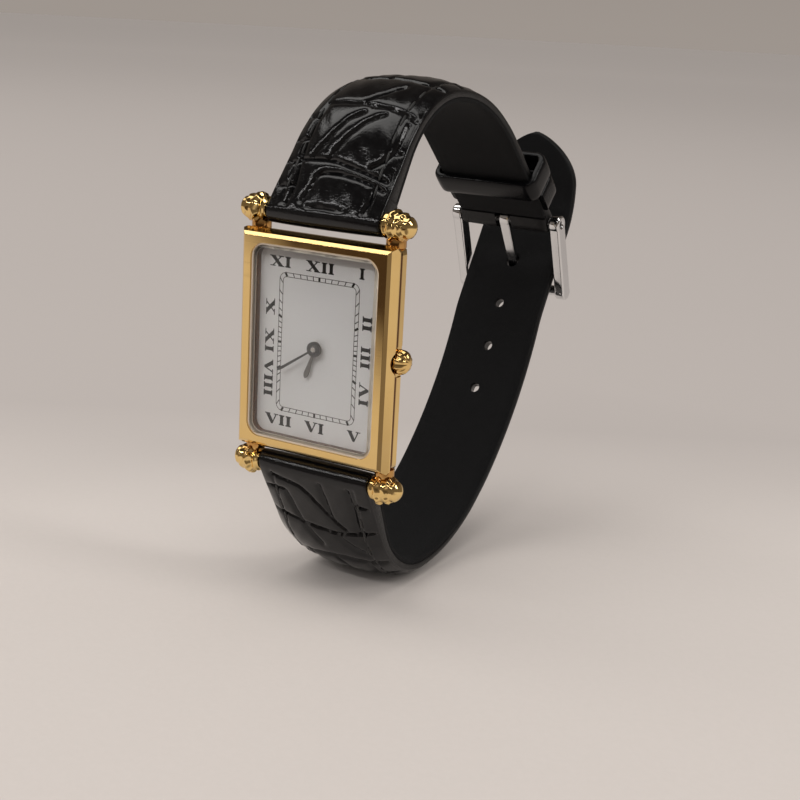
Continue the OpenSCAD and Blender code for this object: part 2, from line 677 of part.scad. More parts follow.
// Main plate: pockets for the motion works in front, for battery, coil and board behind
module main_plate() color("silver") place() difference() {
    union() {
        slab(plate_front, plate_rear) square([2 * plate_x, 2 * plate_z], center = true);
        for (p = bridge_posts) post(p, post_r, plate_rear, bridge_front);
        post(clamp_post, post_r, plate_rear, battery_rear);
        for (x = [core_x0 + core_half, core_x1 - core_half]) post([x, core_z], 0.4, plate_rear, core_front);
        post([core_x0 + core_half, 4.2], 0.4, plate_rear, stator_front);
    }
    post([0, 0], 2.15, 0, motion_rear);
    post(motion_at, 2.05, 0, motion_rear);
    post(setting_at, 1.05, 0, motion_rear);
    post([0, 0], arbor_r + seat_gap, 0, case_depth);
    for (p = [third_at, inter_at, rotor_at]) post(p, pivot_hole_r, plate_rear - 0.4, case_depth);
    post(motion_at, pivot_hole_r, 0, plate_rear - 0.3);
    post(setting_at, pivot_hole_r, 0, plate_rear - 0.3);
    post(battery_at, battery_r + run_gap, battery_front - contact_t, case_depth);
    box(core_x0 - 0.2, core_x1 + 0.2, plate_rear - 0.5, plate_rear + 0.01, core_z - coil_r - 0.1, core_z - 0.42);
    box(coil_x0 - 0.1, coil_x1 + 0.1, plate_rear - 0.5, plate_rear + 0.01, core_z - coil_r - 0.1, core_z + coil_r + 0.1);
    box(board_x0 - run_gap, board_x1 + run_gap, board_front, case_depth, board_z0 - run_gap, board_z1 + run_gap);
    box(slot_x0, slot_x1, 0, case_depth, -slot_half, slot_half);
    rod(stem_front_x - 0.2, case_w, stem_r + 0.03, crown_depth, 0);
    box(lever_x0 - run_gap, lever_x1 + crown_travel + run_gap, lever_front - run_gap, case_depth, 0, lever_z1 + run_gap);
    for (p = bridge_posts) post(p, screw_shank_r, bridge_front - screw_len, case_depth);
    post(clamp_post, screw_shank_r, bridge_front - screw_len, case_depth);
    for (x = [core_x0 + core_half, core_x1 - core_half]) post([x, core_z], screw_shank_r, core_front - screw_len, case_depth);
}

module train_bridge() color("silver") place() difference() {
    slab(bridge_front, bridge_rear) polygon(bridge_outline);
    for (p = [[0, 0], third_at, inter_at, rotor_at]) post(p, pivot_hole_r, 0, case_depth);
    for (p = bridge_posts) post(p, screw_shank_r, 0, case_depth);
}

// Screws of the bridge, of the battery clamp and of the stator
module movement_screws() color("gainsboro") place() {
    for (p = bridge_posts) screw(p, bridge_rear, bridge_front - screw_len);
    screw(clamp_post, battery_rear + clamp_t, bridge_front - screw_len);
    for (x = [core_x0 + core_half, core_x1 - core_half]) screw([x, core_z], stator_front + stator_t, core_front - screw_len);
}
module screw(at, under_head, end) difference() {
    union() {
        post(at, screw_head_r, under_head, under_head + screw_head_t);
        post(at, screw_shank_r, end, under_head + screw_head_t / 2);
    }
    box(at[0] - screw_head_r, at[0] + screw_head_r, under_head + screw_head_t / 2, case_depth, at[1] - 0.06, at[1] + 0.06);
}

// Stator of the stepping motor: one flat plate with two arms on the coil core
module stator() color("lightgray") place() difference() {
    union() {
        box(core_x0, 0.55, stator_front, stator_front + stator_t, 3.5, 5.7);
        box(0.5, core_x1, stator_front, stator_front + stator_t, 5, 5.7);
        box(core_x0, core_x0 + 2 * core_half, stator_front, stator_front + stator_t, 5.7, core_z + core_half);
        box(core_x1 - 2 * core_half, core_x1, stator_front, stator_front + stator_t, 5.7, core_z + core_half);
    }
    post(rotor_at, stator_hole_r, 0, case_depth);
    for (x = [core_x0 + core_half, core_x1 - core_half]) post([x, core_z], screw_shank_r, 0, case_depth);
}

module coil_core() color("gray") place() difference() {
    box(core_x0, core_x1, core_front, core_front + core_t, core_z - core_half, core_z + core_half);
    for (x = [core_x0 + core_half, core_x1 - core_half]) post([x, core_z], screw_shank_r, 0, case_depth);
}

module coil_winding() color("chocolate") place() difference() {
    rod(coil_x0, coil_x1, coil_r, core_front + core_t / 2, core_z);
    box(core_x0, core_x1, core_front, core_front + core_t, core_z - core_half, core_z + core_half);
}

module circuit_board() color("darkgreen") place() box(board_x0, board_x1, board_front, board_front + board_t, board_z0, board_z1);

module timing_chip() color("black") place()
    box(chip_at[0] - chip_size / 2 + 0.1, chip_at[0] + chip_size / 2 - 0.1, board_front + board_t, board_front + board_t + chip_t,
        chip_at[1] - chip_size / 2, chip_at[1] + chip_size / 2);

module quartz_can() color("silver") place()
    rod_z(can_x, can_z0, can_z0 + can_len, can_r, board_front + board_t + can_r + seat_gap);
module rod_z(x, z0, z1, r, d) translate([x, d, z0]) cylinder(r = r, h = z1 - z0, $fn = round_fn);

module battery() color("lightgray") place() difference() {
    union() {
        post(battery_at, battery_r - 0.5, battery_front, battery_rear);
        post(battery_at, battery_r, battery_front + 0.3, battery_rear);
    }
}

module battery_contact() color("gold") place()
    box(battery_at[0] - contact_len / 2, battery_at[0] + contact_len / 2, battery_front - contact_t, battery_front,
        battery_at[1] - contact_w / 2, battery_at[1] + contact_w / 2);

module battery_clamp() color("silver") place() difference() {
    box(battery_at[0] - 1, clamp_post[0] + post_r, battery_rear, battery_rear + clamp_t, clamp_post[1] - post_r, clamp_post[1] + post_r);
    post(clamp_post, screw_shank_r, 0, case_depth);
}

// Hands: slim blades that widen from a round hub towards a blunt point
module leaf(reach, w) polygon([[-leaf_root, 0], [-w / 2, reach * 0.86], [-w * 0.36, reach * 0.95], [-w * 0.1, reach],
    [w * 0.1, reach], [w * 0.36, reach * 0.95], [w / 2, reach * 0.86], [leaf_root, 0]]);

module minute_hand() color("black") place() difference() {
    union() {
        slab(minute_hand_front, minute_hand_front + hand_t) rotate(-minute_angle) leaf(minute_reach, minute_w);
        post([0, 0], hub_r, minute_hand_front, minute_hand_front + hand_t);
    }
    post([0, 0], cannon_r + seat_gap, 0, case_depth);
}

// Cannon pinion: teeth under the hour wheel and a pipe that carries the minute hand
module cannon_pinion() color("silver") place() difference() {
    union() {
        gear([0, 0], cannon_teeth, motion_m, 0, cannon_front, motion_rear - seat_gap);
        post([0, 0], cannon_r, minute_hand_front, cannon_front + run_gap);
    }
    post([0, 0], arbor_r + seat_gap, 0, case_depth);
}

// Centre wheel with the long arbor that ends as a bright pin in the hands
module centre_wheel() color("gold") place() {
    spoked_wheel([0, 0], centre_teeth, train_m, 0, low_wheel, low_wheel + wheel_t + run_gap);
    post([0, 0], arbor_r, pin_front, bridge_front - run_gap);
    post([0, 0], pivot_r, bridge_front - 0.1, bridge_rear);
}

module hour_hand() color("dimgray") place() difference() {
    union() {
        slab(hour_hand_front, hour_hand_front + hand_t) rotate(-hour_angle) leaf(hour_reach, hour_w);
        post([0, 0], hub_r, hour_hand_front, hour_hand_front + hand_t);
    }
    post([0, 0], hour_pipe_r + seat_gap, 0, case_depth);
}

module hour_wheel() color("gold") place() difference() {
    union() {
        gear([0, 0], hour_wheel_teeth, hour_m, hour_wheel_phase, hour_wheel_front, hour_wheel_front + wheel_t);
        post([0, 0], hour_pipe_r, hour_hand_front, hour_wheel_front + wheel_t);
    }
    post([0, 0], hour_pipe_inner, 0, case_depth);
}

module minute_wheel() color("gold") place() {
    gear(motion_at, minute_wheel_teeth, motion_m, minute_wheel_phase, minute_wheel_front, minute_wheel_front + wheel_t);
    gear(motion_at, minute_leaf_teeth, hour_m, 0, plate_front + 0.05, minute_wheel_front + 0.01);
    post(motion_at, pivot_r, plate_front + 0.05, plate_rear - 0.32);
}

module third_wheel() color("gold") place() {
    gear(third_at, leaf_teeth, train_m, third_phase, low_wheel - 0.03, low_wheel + 0.23);
    spoked_wheel(third_at, third_teeth, small_m, 0, high_wheel, high_wheel + wheel_t);
    post(third_at, 0.2, low_wheel, high_wheel + 0.3);
    post(third_at, pivot_r, plate_rear - 0.35, bridge_rear);
}

module intermediate_wheel() color("gold") place() {
    gear(inter_at, leaf_teeth, small_m, inter_phase, high_wheel - 0.05, high_wheel + 0.2);
    spoked_wheel(inter_at, inter_teeth, small_m, 0, low_wheel, low_wheel + wheel_t);
    post(inter_at, 0.2, low_wheel, high_wheel + 0.3);
    post(inter_at, pivot_r, plate_rear - 0.35, bridge_rear);
}

module rotor() color("dimgray") place() {
    gear(rotor_at, leaf_teeth, small_m, rotor_phase, low_wheel - 0.03, low_wheel + 0.19);
    post(rotor_at, 0.2, low_wheel, magnet_front + 0.1);
    post(rotor_at, magnet_r, magnet_front, magnet_front + magnet_t);
    post(rotor_at, pivot_r, plate_rear - 0.35, bridge_rear);
}

module setting_wheel() color("silver") place() {
    gear(setting_at, setting_teeth, motion_m, setting_phase, minute_wheel_front, minute_wheel_front + wheel_t);
    post(setting_at, pivot_r, plate_front + 0.2, plate_rear - 0.32);
}

// Setting lever: block beside the stem with a finger in the stem's groove
module setting_lever() color("silver") place() {
    box(lever_x0, lever_x1, lever_front, lever_rear, lever_z0, lever_z1);
    box(stem_groove_x - 0.12, stem_groove_x + 0.12, crown_depth - 0.12, crown_depth + 0.12, stem_groove_r + 0.03, lever_z0 + 0.01);
}

// Yoke: flat arm over the stem slot with a finger in the sliding pinion's groove
module yoke() color("silver") place() {
    box(slider_groove_x - 0.25, yoke_x1, plate_rear + 0.03, plate_rear + 0.03 + yoke_t, -yoke_half, yoke_half);
    box(slider_groove_x - 0.08, slider_groove_x + 0.08, crown_depth + slider_groove_r + 0.02, plate_rear + 0.04, -0.25, 0.25);
}

module sliding_pinion() color("gold") place() difference() {
    rod(slider_x0, slider_x1, slider_r, crown_depth, 0);
    difference() {
        rod(slider_groove_x - slider_groove_w / 2, slider_groove_x + slider_groove_w / 2, slider_r + through, crown_depth, 0);
        rod(slider_x0, slider_x1, slider_groove_r, crown_depth, 0);
    }
    rod(slider_x0 - through, slider_x1 + through, stem_r + seat_gap, crown_depth, 0);
    for (i = [0:7]) translate([0, crown_depth, 0]) rotate([i * 45, 0, 0]) translate([slider_x0 - 0.5, slider_r, 0])
        cube([0.65, 0.3, 0.18], center = true);
}

// Crown: fluted drum with a domed end and a boss that runs in the stem seal
module crown() color("goldenrod") place() difference() {
    translate([crown_x, crown_depth, 0]) rotate([0, 90, 0]) union() {
        rotate_extrude($fn = round_fn) polygon([[0, 0], [crown_r - 0.12, 0], [crown_r, 0.14], [crown_r, crown_len * 0.5],
            [crown_r * 0.93, crown_len * 0.68], [crown_r * 0.76, crown_len * 0.84], [crown_r * 0.5, crown_len * 0.95],
            [crown_r * 0.2, crown_len], [0, crown_len]]);
        translate([0, 0, boss_x - crown_x]) cylinder(r = boss_r, h = crown_x - boss_x + 0.1, $fn = round_fn);
    }
    for (i = [0:crown_flutes - 1]) translate([crown_x, crown_depth, 0]) rotate([i * 360 / crown_flutes, 0, 0])
        translate([-0.5, crown_r + flute_r * 0.45, 0]) rotate([0, 90, 0]) cylinder(r = flute_r, h = crown_len + 1, $fn = 24);
    rod(boss_x - through, crown_x + 0.7, stem_r + seat_gap, crown_depth, 0);
}

module stem() color("silver") place() difference() {
    rod(stem_front_x, crown_x + 0.68, stem_r, crown_depth, 0);
    difference() {
        rod(stem_groove_x - stem_groove_w / 2, stem_groove_x + stem_groove_w / 2, stem_r + through, crown_depth, 0);
        rod(stem_front_x, crown_x, stem_groove_r, crown_depth, 0);
    }
}

// Spring bars: a tube with a blind bore at each end, a spring and a sliding tip
module bar_tube(half_len, bore_depth) difference() {
    rod(-half_len, half_len, bar_r, 0, 0);
    both_sides() rod(half_len - bore_depth, half_len + through, bar_bore_r, 0, 0);
}
module bar_spring(half_len) both_sides() difference() {
    rod(half_len - tip_inside - spring_len, half_len - tip_inside - run_gap, bar_bore_r - run_gap, 0, 0);
    rod(half_len - tip_inside - spring_len - through, half_len, bar_bore_r - run_gap - 0.1, 0, 0);
}
module bar_tip(half_len, end_x) rod(half_len - tip_inside, end_x, tip_r, 0, 0);
bore_depth = tip_inside + spring_len;
tip_end = finial_x + tip_reach;

module at_bar(s) place() translate([0, bar_depth, s * bar_z]) children();
module at_buckle() place() translate([0, bar_b[0], bar_b[1]]) children();

module lug_bar_tubes() color("silver") for (s = [-1, 1]) at_bar(s) bar_tube(bar_tube_x, bore_depth);
module lug_bar_springs() color("gray") for (s = [-1, 1]) at_bar(s) bar_spring(bar_tube_x);
module bar_tip_upper_right() color("silver") at_bar(1) bar_tip(bar_tube_x, tip_end);
module bar_tip_upper_left() color("silver") at_bar(1) mirror([1, 0, 0]) bar_tip(bar_tube_x, tip_end);
module bar_tip_lower_right() color("silver") at_bar(-1) bar_tip(bar_tube_x, tip_end);
module bar_tip_lower_left() color("silver") at_bar(-1) mirror([1, 0, 0]) bar_tip(bar_tube_x, tip_end);

// Straps taper from the lugs to the buckle
module taper(end_w) translate([0, 0, -far]) linear_extrude(2 * far) polygon([[-strap_w / 2, -far], [strap_w / 2, -far],
    [strap_w / 2, taper_y0], [end_w / 2, taper_y1], [end_w / 2, far], [-end_w / 2, far], [-end_w / 2, taper_y1], [-strap_w / 2, taper_y0]]);

// Leather of the short strap, folded round the lug bar and round the buckle bar
module upper_strap() color([0.05, 0.05, 0.06]) place() difference() {
    intersection() {
        union() {
            across(strap_w, concat([off(upper_line[0], 0, 1), off(upper_line[1], 0, 1)],
                stretch(upper_line, 1, len(upper_line) - 3, lining_t, upper_side),
                [off(upper_line[len(upper_line) - 3], 0, 1), off(upper_line[len(upper_line) - 2], 0, 1), off(upper_last, 0, 1)],
                reversed(outer_side(upper_line, upper_thickness, upper_side))));
            bar_axis([bar_depth, bar_z], -strap_w, strap_w, half_t);
            bar_axis(bar_b, -strap_w, strap_w, rear_wrap);
        }
        taper(upper_end_w);
    }
    bar_axis([bar_depth, bar_z], -strap_w, strap_w, bar_r + bar_clearance);
    bar_axis(bar_b, -strap_w, strap_w, bar_r + bar_clearance);
    translate([0, bar_b[0], bar_b[1]]) rotate([upper_last[2], 0, 0])
        translate([-slot_half_w, -slot_len / 2, -slot_len]) cube([2 * slot_half_w, 3 * slot_len, 2 * slot_len]);
}

module upper_lining() color([0.12, 0.12, 0.12]) place() intersection() {
    across(strap_w, concat(stretch(upper_line, 1, len(upper_line) - 3, 0, upper_side),
        reversed(stretch(upper_line, 1, len(upper_line) - 3, lining_t, upper_side))));
    taper(upper_end_w);
}

// Outline of the long strap's pointed tip, seen from behind
module tail_cut() translate([0, 2 * far, 0]) rotate([90, 0, 0]) linear_extrude(3 * far) polygon(concat(
    [[-strap_w, -far], [strap_w, -far], [strap_w, tail_z - 8], [lower_end_w / 2, tail_z - 8]],
    [for (p = tail_shape) [p[1] / 7 * lower_end_w / 2, tail_z + p[0]]],
    [for (p = reversed(tail_shape)) [-p[1] / 7 * lower_end_w / 2, tail_z + p[0]]],
    [[-lower_end_w / 2, tail_z - 8], [-strap_w, tail_z - 8]]));

// Buckle holes: round ones along the strap, and the used one stretched along the tongue
module strap_holes() {
    for (i = [-holes_inner:holes_outer]) if (i != 0) hole_at(used_along + i * hole_pitch);
    translate([0, bar_b[0], bar_b[1]]) rotate([tongue_heading, 0, 0]) translate([0, tongue_len * 0.3, -tongue_side])
        rotate([-90, 0, 0]) cylinder(r = tunnel_r, h = tongue_len * 0.7 - front_bar_r - tongue_t, $fn = round_fn);
}
// A hole square to the strap at a distance along from the start of the straight run
module hole_at(a) {
    s = lower_run_start[3] + a;
    p = point_at(lower_line, s);
    translate([0, p[0], p[1]]) rotate([p[2], 0, 0]) cylinder(r = hole_r, h = 4 * strap_t, center = true, $fn = round_fn);
}
function point_at(line, s) = let (k = max([for (i = [0:len(line) - 2]) line[i][3] <= s ? i : 0]), a = line[k], b = line[k + 1],
    f = (s - a[3]) / (b[3] - a[3])) a + f * (b - a);

module lower_strap() color([0.05, 0.05, 0.06]) place() difference() {
    intersection() {
        union() {
            across(strap_w, concat([off(lower_line[0], 0, 1), off(lower_line[1], 0, 1)],
                stretch(lower_line, 1, len(lower_line) - 1, lining_t, lower_side),
                reversed(outer_side(lower_line, lower_thickness, lower_side))));
            bar_axis([bar_depth, -bar_z], -strap_w, strap_w, half_t);
        }
        taper(lower_end_w);
        tail_cut();
    }
    bar_axis([bar_depth, -bar_z], -strap_w, strap_w, bar_r + bar_clearance);
    strap_holes();
}

module lower_lining() color([0.12, 0.12, 0.12]) place() difference() {
    intersection() {
        across(strap_w, concat(stretch(lower_line, 1, len(lower_line) - 1, 0, lower_side),
            reversed(stretch(lower_line, 1, len(lower_line) - 1, lining_t, lower_side))));
        taper(lower_end_w);
        tail_cut();
    }
    strap_holes();
}

// Local frame of the keepers: Y along the short strap, Z outward from its wrist side
module on_run(a) place() translate([0, upper_run_start[0], upper_run_start[1]]) rotate([upper_run_start[2], 0, 0])
    translate([0, a, 0]) children();
module band_section(hx, z0, z1, r) translate([0, keeper_len, 0]) rotate([90, 0, 0]) linear_extrude(keeper_len)
    translate([0, (z0 + z1) / 2]) round_rect(hx, (z1 - z0) / 2, r);

// Fixed keeper: a leather band glued to both edges of the short strap
module fixed_keeper() color([0.05, 0.05, 0.06]) on_run(keeper_b) difference() {
    top = upper_thin_t + keeper_room;
    band_section(upper_end_w / 2 + keeper_t, lining_t, top + keeper_t, keeper_corner + keeper_t);
    translate([-upper_end_w / 2, -through, -keeper_len]) cube([upper_end_w, keeper_len + 2 * through, keeper_len + upper_thin_t]);
    translate([0, -through, 0]) band_cut(upper_end_w / 2, upper_thin_t - 2 * keeper_corner, top, keeper_corner);
}
module band_cut(hx, z0, z1, r) translate([0, keeper_len + 2 * through, 0]) rotate([90, 0, 0]) linear_extrude(keeper_len + 2 * through)
    translate([0, (z0 + z1) / 2]) round_rect(hx, (z1 - z0) / 2, r);

// Floating keeper: a closed leather band that slides along the short strap
module floating_keeper() color([0.05, 0.05, 0.06]) on_run(keeper_a) difference() {
    top = upper_thin_t + keeper_room;
    band_section(upper_end_w / 2 + keeper_side + keeper_t, -keeper_under - keeper_t, top + keeper_t, keeper_corner + keeper_t);
    translate([0, -through, 0]) band_cut(upper_end_w / 2 + keeper_side, -keeper_under, top, keeper_corner);
}

// Buckle frame: two side arms and the front bar in one piece
module buckle_frame() color("gainsboro") place() {
    both_sides() arm_plate() difference() {
        union() {
            translate(bar_b) circle(r = boss_b_r, $fn = round_fn);
            translate(bar_f) circle(r = arm_w / 2 + arm_end, $fn = round_fn);
            polygon([bar_b - arm_side, bar_f - arm_side, bar_f + arm_side, bar_b + arm_side]);
        }
        translate(bar_b) circle(r = tip_r + run_gap, $fn = round_fn);
    }
    bar_axis(bar_f, -arm_x0, arm_x0, front_bar_r);
}
module arm_plate() rotate([90, 0, 90]) translate([0, 0, arm_x0]) linear_extrude(arm_t) children();

// Tongue: a loop round the rear bar and a flat blade that rests on the front bar
module buckle_tongue() color("gainsboro") place() difference() {
    union() {
        bar_axis(bar_b, -tongue_w / 2, tongue_w / 2, loop_r);
        translate([0, bar_b[0], bar_b[1]]) rotate([tongue_heading, 0, 0]) {
            translate([-tongue_w / 2, 0, -tongue_side - tongue_t / 2]) cube([tongue_w, tongue_len + tongue_past, tongue_t]);
            translate([0, tongue_len + tongue_past, -tongue_side - tongue_t / 2]) cylinder(r = tongue_w / 2, h = tongue_t, $fn = round_fn);
        }
    }
    bar_axis(bar_b, -tongue_w, tongue_w, loop_bore);
}

module buckle_bar_tube() color("silver") at_buckle() bar_tube(buckle_tube_x, bore_depth);
module buckle_bar_springs() color("gray") at_buckle() bar_spring(buckle_tube_x);
module buckle_tip_right() color("silver") at_buckle() bar_tip(buckle_tube_x, buckle_tip_x);
module buckle_tip_left() color("silver") at_buckle() mirror([1, 0, 0]) bar_tip(buckle_tube_x, buckle_tip_x);

bezel();
case_middle();
crystal();
crystal_gasket();
dial();
movement_ring();
case_back();
case_back_gasket();
lug_finials();
crown_gasket();
main_plate();
train_bridge();
movement_screws();
stator();
coil_core();
coil_winding();
circuit_board();
timing_chip();
quartz_can();
battery();
battery_contact();
battery_clamp();
minute_hand();
cannon_pinion();
centre_wheel();
hour_hand();
hour_wheel();
minute_wheel();
third_wheel();
intermediate_wheel();
rotor();
setting_wheel();
setting_lever();
yoke();
sliding_pinion();
crown();
stem();
lug_bar_tubes();
lug_bar_springs();
bar_tip_upper_right();
bar_tip_upper_left();
bar_tip_lower_right();
bar_tip_lower_left();
upper_strap();
upper_lining();
fixed_keeper();
floating_keeper();
lower_strap();
lower_lining();
buckle_frame();
buckle_tongue();
buckle_bar_tube();
buckle_bar_springs();
buckle_tip_right();
buckle_tip_left();
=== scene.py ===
from math import asin, atan2, copysign, cos, dist, hypot, pi, radians, sin, sqrt

import bmesh
import bpy
import numpy as np
from mathutils import Matrix, Vector
from mathutils.geometry import delaunay_2d_cdt


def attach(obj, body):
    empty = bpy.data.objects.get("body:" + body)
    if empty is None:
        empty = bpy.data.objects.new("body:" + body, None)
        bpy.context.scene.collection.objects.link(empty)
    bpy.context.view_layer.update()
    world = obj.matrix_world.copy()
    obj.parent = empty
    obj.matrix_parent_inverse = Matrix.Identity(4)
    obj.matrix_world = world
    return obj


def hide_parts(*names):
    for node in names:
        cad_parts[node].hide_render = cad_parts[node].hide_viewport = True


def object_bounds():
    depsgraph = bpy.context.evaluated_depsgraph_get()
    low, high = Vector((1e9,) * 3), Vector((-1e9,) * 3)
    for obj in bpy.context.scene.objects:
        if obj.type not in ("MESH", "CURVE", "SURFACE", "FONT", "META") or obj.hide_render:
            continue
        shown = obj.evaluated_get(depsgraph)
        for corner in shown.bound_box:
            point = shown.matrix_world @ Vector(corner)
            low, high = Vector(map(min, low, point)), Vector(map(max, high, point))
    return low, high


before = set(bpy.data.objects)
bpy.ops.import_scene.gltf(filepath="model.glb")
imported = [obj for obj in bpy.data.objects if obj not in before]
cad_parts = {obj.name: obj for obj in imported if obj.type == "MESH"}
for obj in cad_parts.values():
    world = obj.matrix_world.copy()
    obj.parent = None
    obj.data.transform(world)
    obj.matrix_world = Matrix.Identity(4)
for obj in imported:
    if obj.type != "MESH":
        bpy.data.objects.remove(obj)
cad_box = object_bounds()

# Camera: level with the upper half of the dial and well to its right, looking slightly down.
# A long lens keeps the tall case nearly free of perspective.
camera_data = bpy.data.cameras.new("camera")
camera_data.lens, camera_data.sensor_width, camera_data.clip_start = 65.25, 36, 0.005
camera = bpy.data.objects.new("camera", camera_data)
bpy.context.scene.collection.objects.link(camera)
look_right = Vector((0.84791, 0.52758, 0.05203))
look_up = Vector((-0.17631, 0.18808, 0.96620))
look_back = Vector((0.49996, -0.82842, 0.25250))
camera.matrix_world = Matrix.Translation((0.09997, -0.14891, 0.03987)) @ Matrix(
    (look_right, look_up, look_back)).transposed().to_4x4()
bpy.context.scene.camera = camera
bpy.context.scene.view_settings.view_transform = "Standard"

# Studio: a wide pale paper floor under three soft boxes and an even ceiling of light. The watch stands on
# its strap. The paper is painted darker ahead of the watch and lighter far off, as painted falloff of light; a
# dark patch painted on it shows only in reflections, and reflections see a darker sky than the one that lights
# the scene.
MM = 0.001


def fill(tree, node, values):
    """Sets a node's inputs to numbers, colours (r, g, b) or the output sockets that feed them."""
    for key, value in values.items():
        entry = node.inputs[key]
        if isinstance(value, bpy.types.NodeSocket):
            tree.links.new(value, entry)
        else:
            entry.default_value = (*value, 1.0) if entry.type == "RGBA" else value


def add_node(tree, kind, values=None, **props):
    made = tree.nodes.new(kind)
    for key, value in props.items():
        setattr(made, key, value)
    fill(tree, made, values or {})
    return made


def add_material(name, by="Object"):
    """A new material, its node tree, its main shader and the coordinates that its patterns follow."""
    material = bpy.data.materials.new(name)
    material.use_nodes = True
    tree = material.node_tree
    return material, tree, tree.nodes["Principled BSDF"], add_node(tree, "ShaderNodeTexCoord").outputs[by]


def noise(tree, place, scale, detail=3.0, **more):
    values = {"Vector": place, "Scale": scale, "Detail": detail, **more}
    return add_node(tree, "ShaderNodeTexNoise", values).outputs["Fac"]


def spread(tree, value, low, high, to_low=0.0, to_high=1.0):
    """Maps a value from one range to another, held at both ends."""
    return add_node(tree, "ShaderNodeMapRange", {"Value": value, "From Min": low, "From Max": high,
                    "To Min": to_low, "To Max": to_high}).outputs["Result"]


def blend_colours(tree, share, first, second):
    return add_node(tree, "ShaderNodeMix", {0: share, 6: first, 7: second}, data_type="RGBA").outputs[2]


def maths(tree, kind, first, second=0.0):
    return add_node(tree, "ShaderNodeMath", {0: first, 1: second}, operation=kind).outputs[0]


def axis(tree, place, letter):
    return add_node(tree, "ShaderNodeSeparateXYZ", {0: place}).outputs[letter]


def bump(tree, height, depth_mm, strength=1.0, **more):
    values = {"Height": height, "Strength": strength, "Distance": depth_mm * MM, **more}
    return add_node(tree, "ShaderNodeBump", values).outputs["Normal"]


def add_object(name, mesh, *materials):
    made = bpy.data.objects.new(name, mesh)
    bpy.context.scene.collection.objects.link(made)
    for material in materials:
        mesh.materials.append(material)
    return made


def mesh_from(name, points, faces, uvs=None, marks=None):
    """A mesh from points in millimetres, with a uv for each point and a material number for each face."""
    mesh = bpy.data.meshes.new(name)
    mesh.from_pydata((np.asarray(points, float) * MM).tolist(), [], [tuple(int(i) for i in f) for f in faces])
    if uvs is not None:
        layer = mesh.uv_layers.new(name="UVMap")
        owner = np.empty(len(mesh.loops), np.int32)
        mesh.loops.foreach_get("vertex_index", owner)
        layer.data.foreach_set("uv", np.asarray(uvs, np.float32)[owner].ravel())
    if marks is not None:
        mesh.polygons.foreach_set("material_index", np.asarray(marks, np.int32))
    return mesh


floor_z, spokes, rings = cad_box[0].z / MM, 96, (150, 400, 1000, 3000, 9000)
turns = [2 * pi * k / spokes for k in range(spokes)]
points = [(r * cos(a), r * sin(a), floor_z) for r in rings for a in turns] + [(0, 0, floor_z)]
faces = [(i + k, i + spokes + k, i + spokes + (k + 1) % spokes, i + (k + 1) % spokes)
         for i in range(0, spokes * (len(rings) - 1), spokes) for k in range(spokes)]
faces += [(len(points) - 1, k, (k + 1) % spokes) for k in range(spokes)]
paper, tree, shader, place = add_material("floor_paper")
fibres = noise(tree, place, 1400.0)
away = add_node(tree, "ShaderNodeVectorMath", {0: place, 1: (-0.517, 0.857, 0.0)}, operation="DOT_PRODUCT")
reach = add_node(tree, "ShaderNodeVectorMath", {0: place}, operation="LENGTH")
paper_and_painted_light = blend_colours(tree, fibres, (0.615, 0.567, 0.535), (0.59, 0.545, 0.512))
# Painted light: the paper is painted darker from 25 to 85 mm ahead of the watch, leaving a painted pool of
# light round it, and lighter again from 0.25 to 2.5 m off, against the lamps' falloff.
paper_and_painted_light = blend_colours(tree, spread(tree, away.outputs["Value"], 25 * MM, 85 * MM), paper_and_painted_light, (0.47, 0.432, 0.410))
paper_and_painted_light = blend_colours(tree, spread(tree, reach.outputs["Value"], 0.25, 2.5), paper_and_painted_light, (0.585, 0.54, 0.51))
x, y = axis(tree, place, "X"), axis(tree, place, "Y")
past_left = maths(tree, "ADD", x, maths(tree, "MULTIPLY", y, -1.05))
past_right = maths(tree, "ADD", y, maths(tree, "MULTIPLY", x, 0.5))
# Painted reflection: a dark patch painted on the paper to the front left, seen only by glossy rays, so that the
# gold flats mirror a dark area.
painted_dark_reflection = spread(tree, past_left, 52 * MM, 86 * MM)
for share in (spread(tree, past_right, -8 * MM, 28 * MM, 1.0, 0.0),
              spread(tree, past_right, -150 * MM, -90 * MM, 1.0, 0.75),
              add_node(tree, "ShaderNodeLightPath").outputs["Is Glossy Ray"]):
    painted_dark_reflection = maths(tree, "MULTIPLY", painted_dark_reflection, share)
fill(tree, shader, {"Base Color": blend_colours(tree, painted_dark_reflection, paper_and_painted_light, (0.05, 0.03, 0.02)),
                    "Roughness": 0.95, "Specular IOR Level": 0.1, "Normal": bump(tree, fibres, 0.05, 0.3)})
floor = add_object("floor", mesh_from("floor", points, faces), paper)

sky = bpy.data.worlds.new("sky")
bpy.context.scene.world = sky
sky.use_nodes = True
tree = sky.node_tree
way_up = axis(tree, add_node(tree, "ShaderNodeTexCoord").outputs["Generated"], "Z")
rays = add_node(tree, "ShaderNodeLightPath").outputs
seen = maths(tree, "MAXIMUM", maths(tree, "MAXIMUM", rays["Is Camera Ray"], rays["Is Glossy Ray"]),
             rays["Is Transmission Ray"])
low_sky = blend_colours(tree, rays["Is Glossy Ray"], (0.34, 0.30, 0.27), (0.19, 0.165, 0.145))
backdrop = blend_colours(tree, spread(tree, way_up, 0.0, 0.75), low_sky, (0.055, 0.044, 0.035))
fill(tree, tree.nodes["Background"], {"Color": blend_colours(tree, seen, (0.60, 0.58, 0.565), backdrop),
                                      "Strength": 1.0})

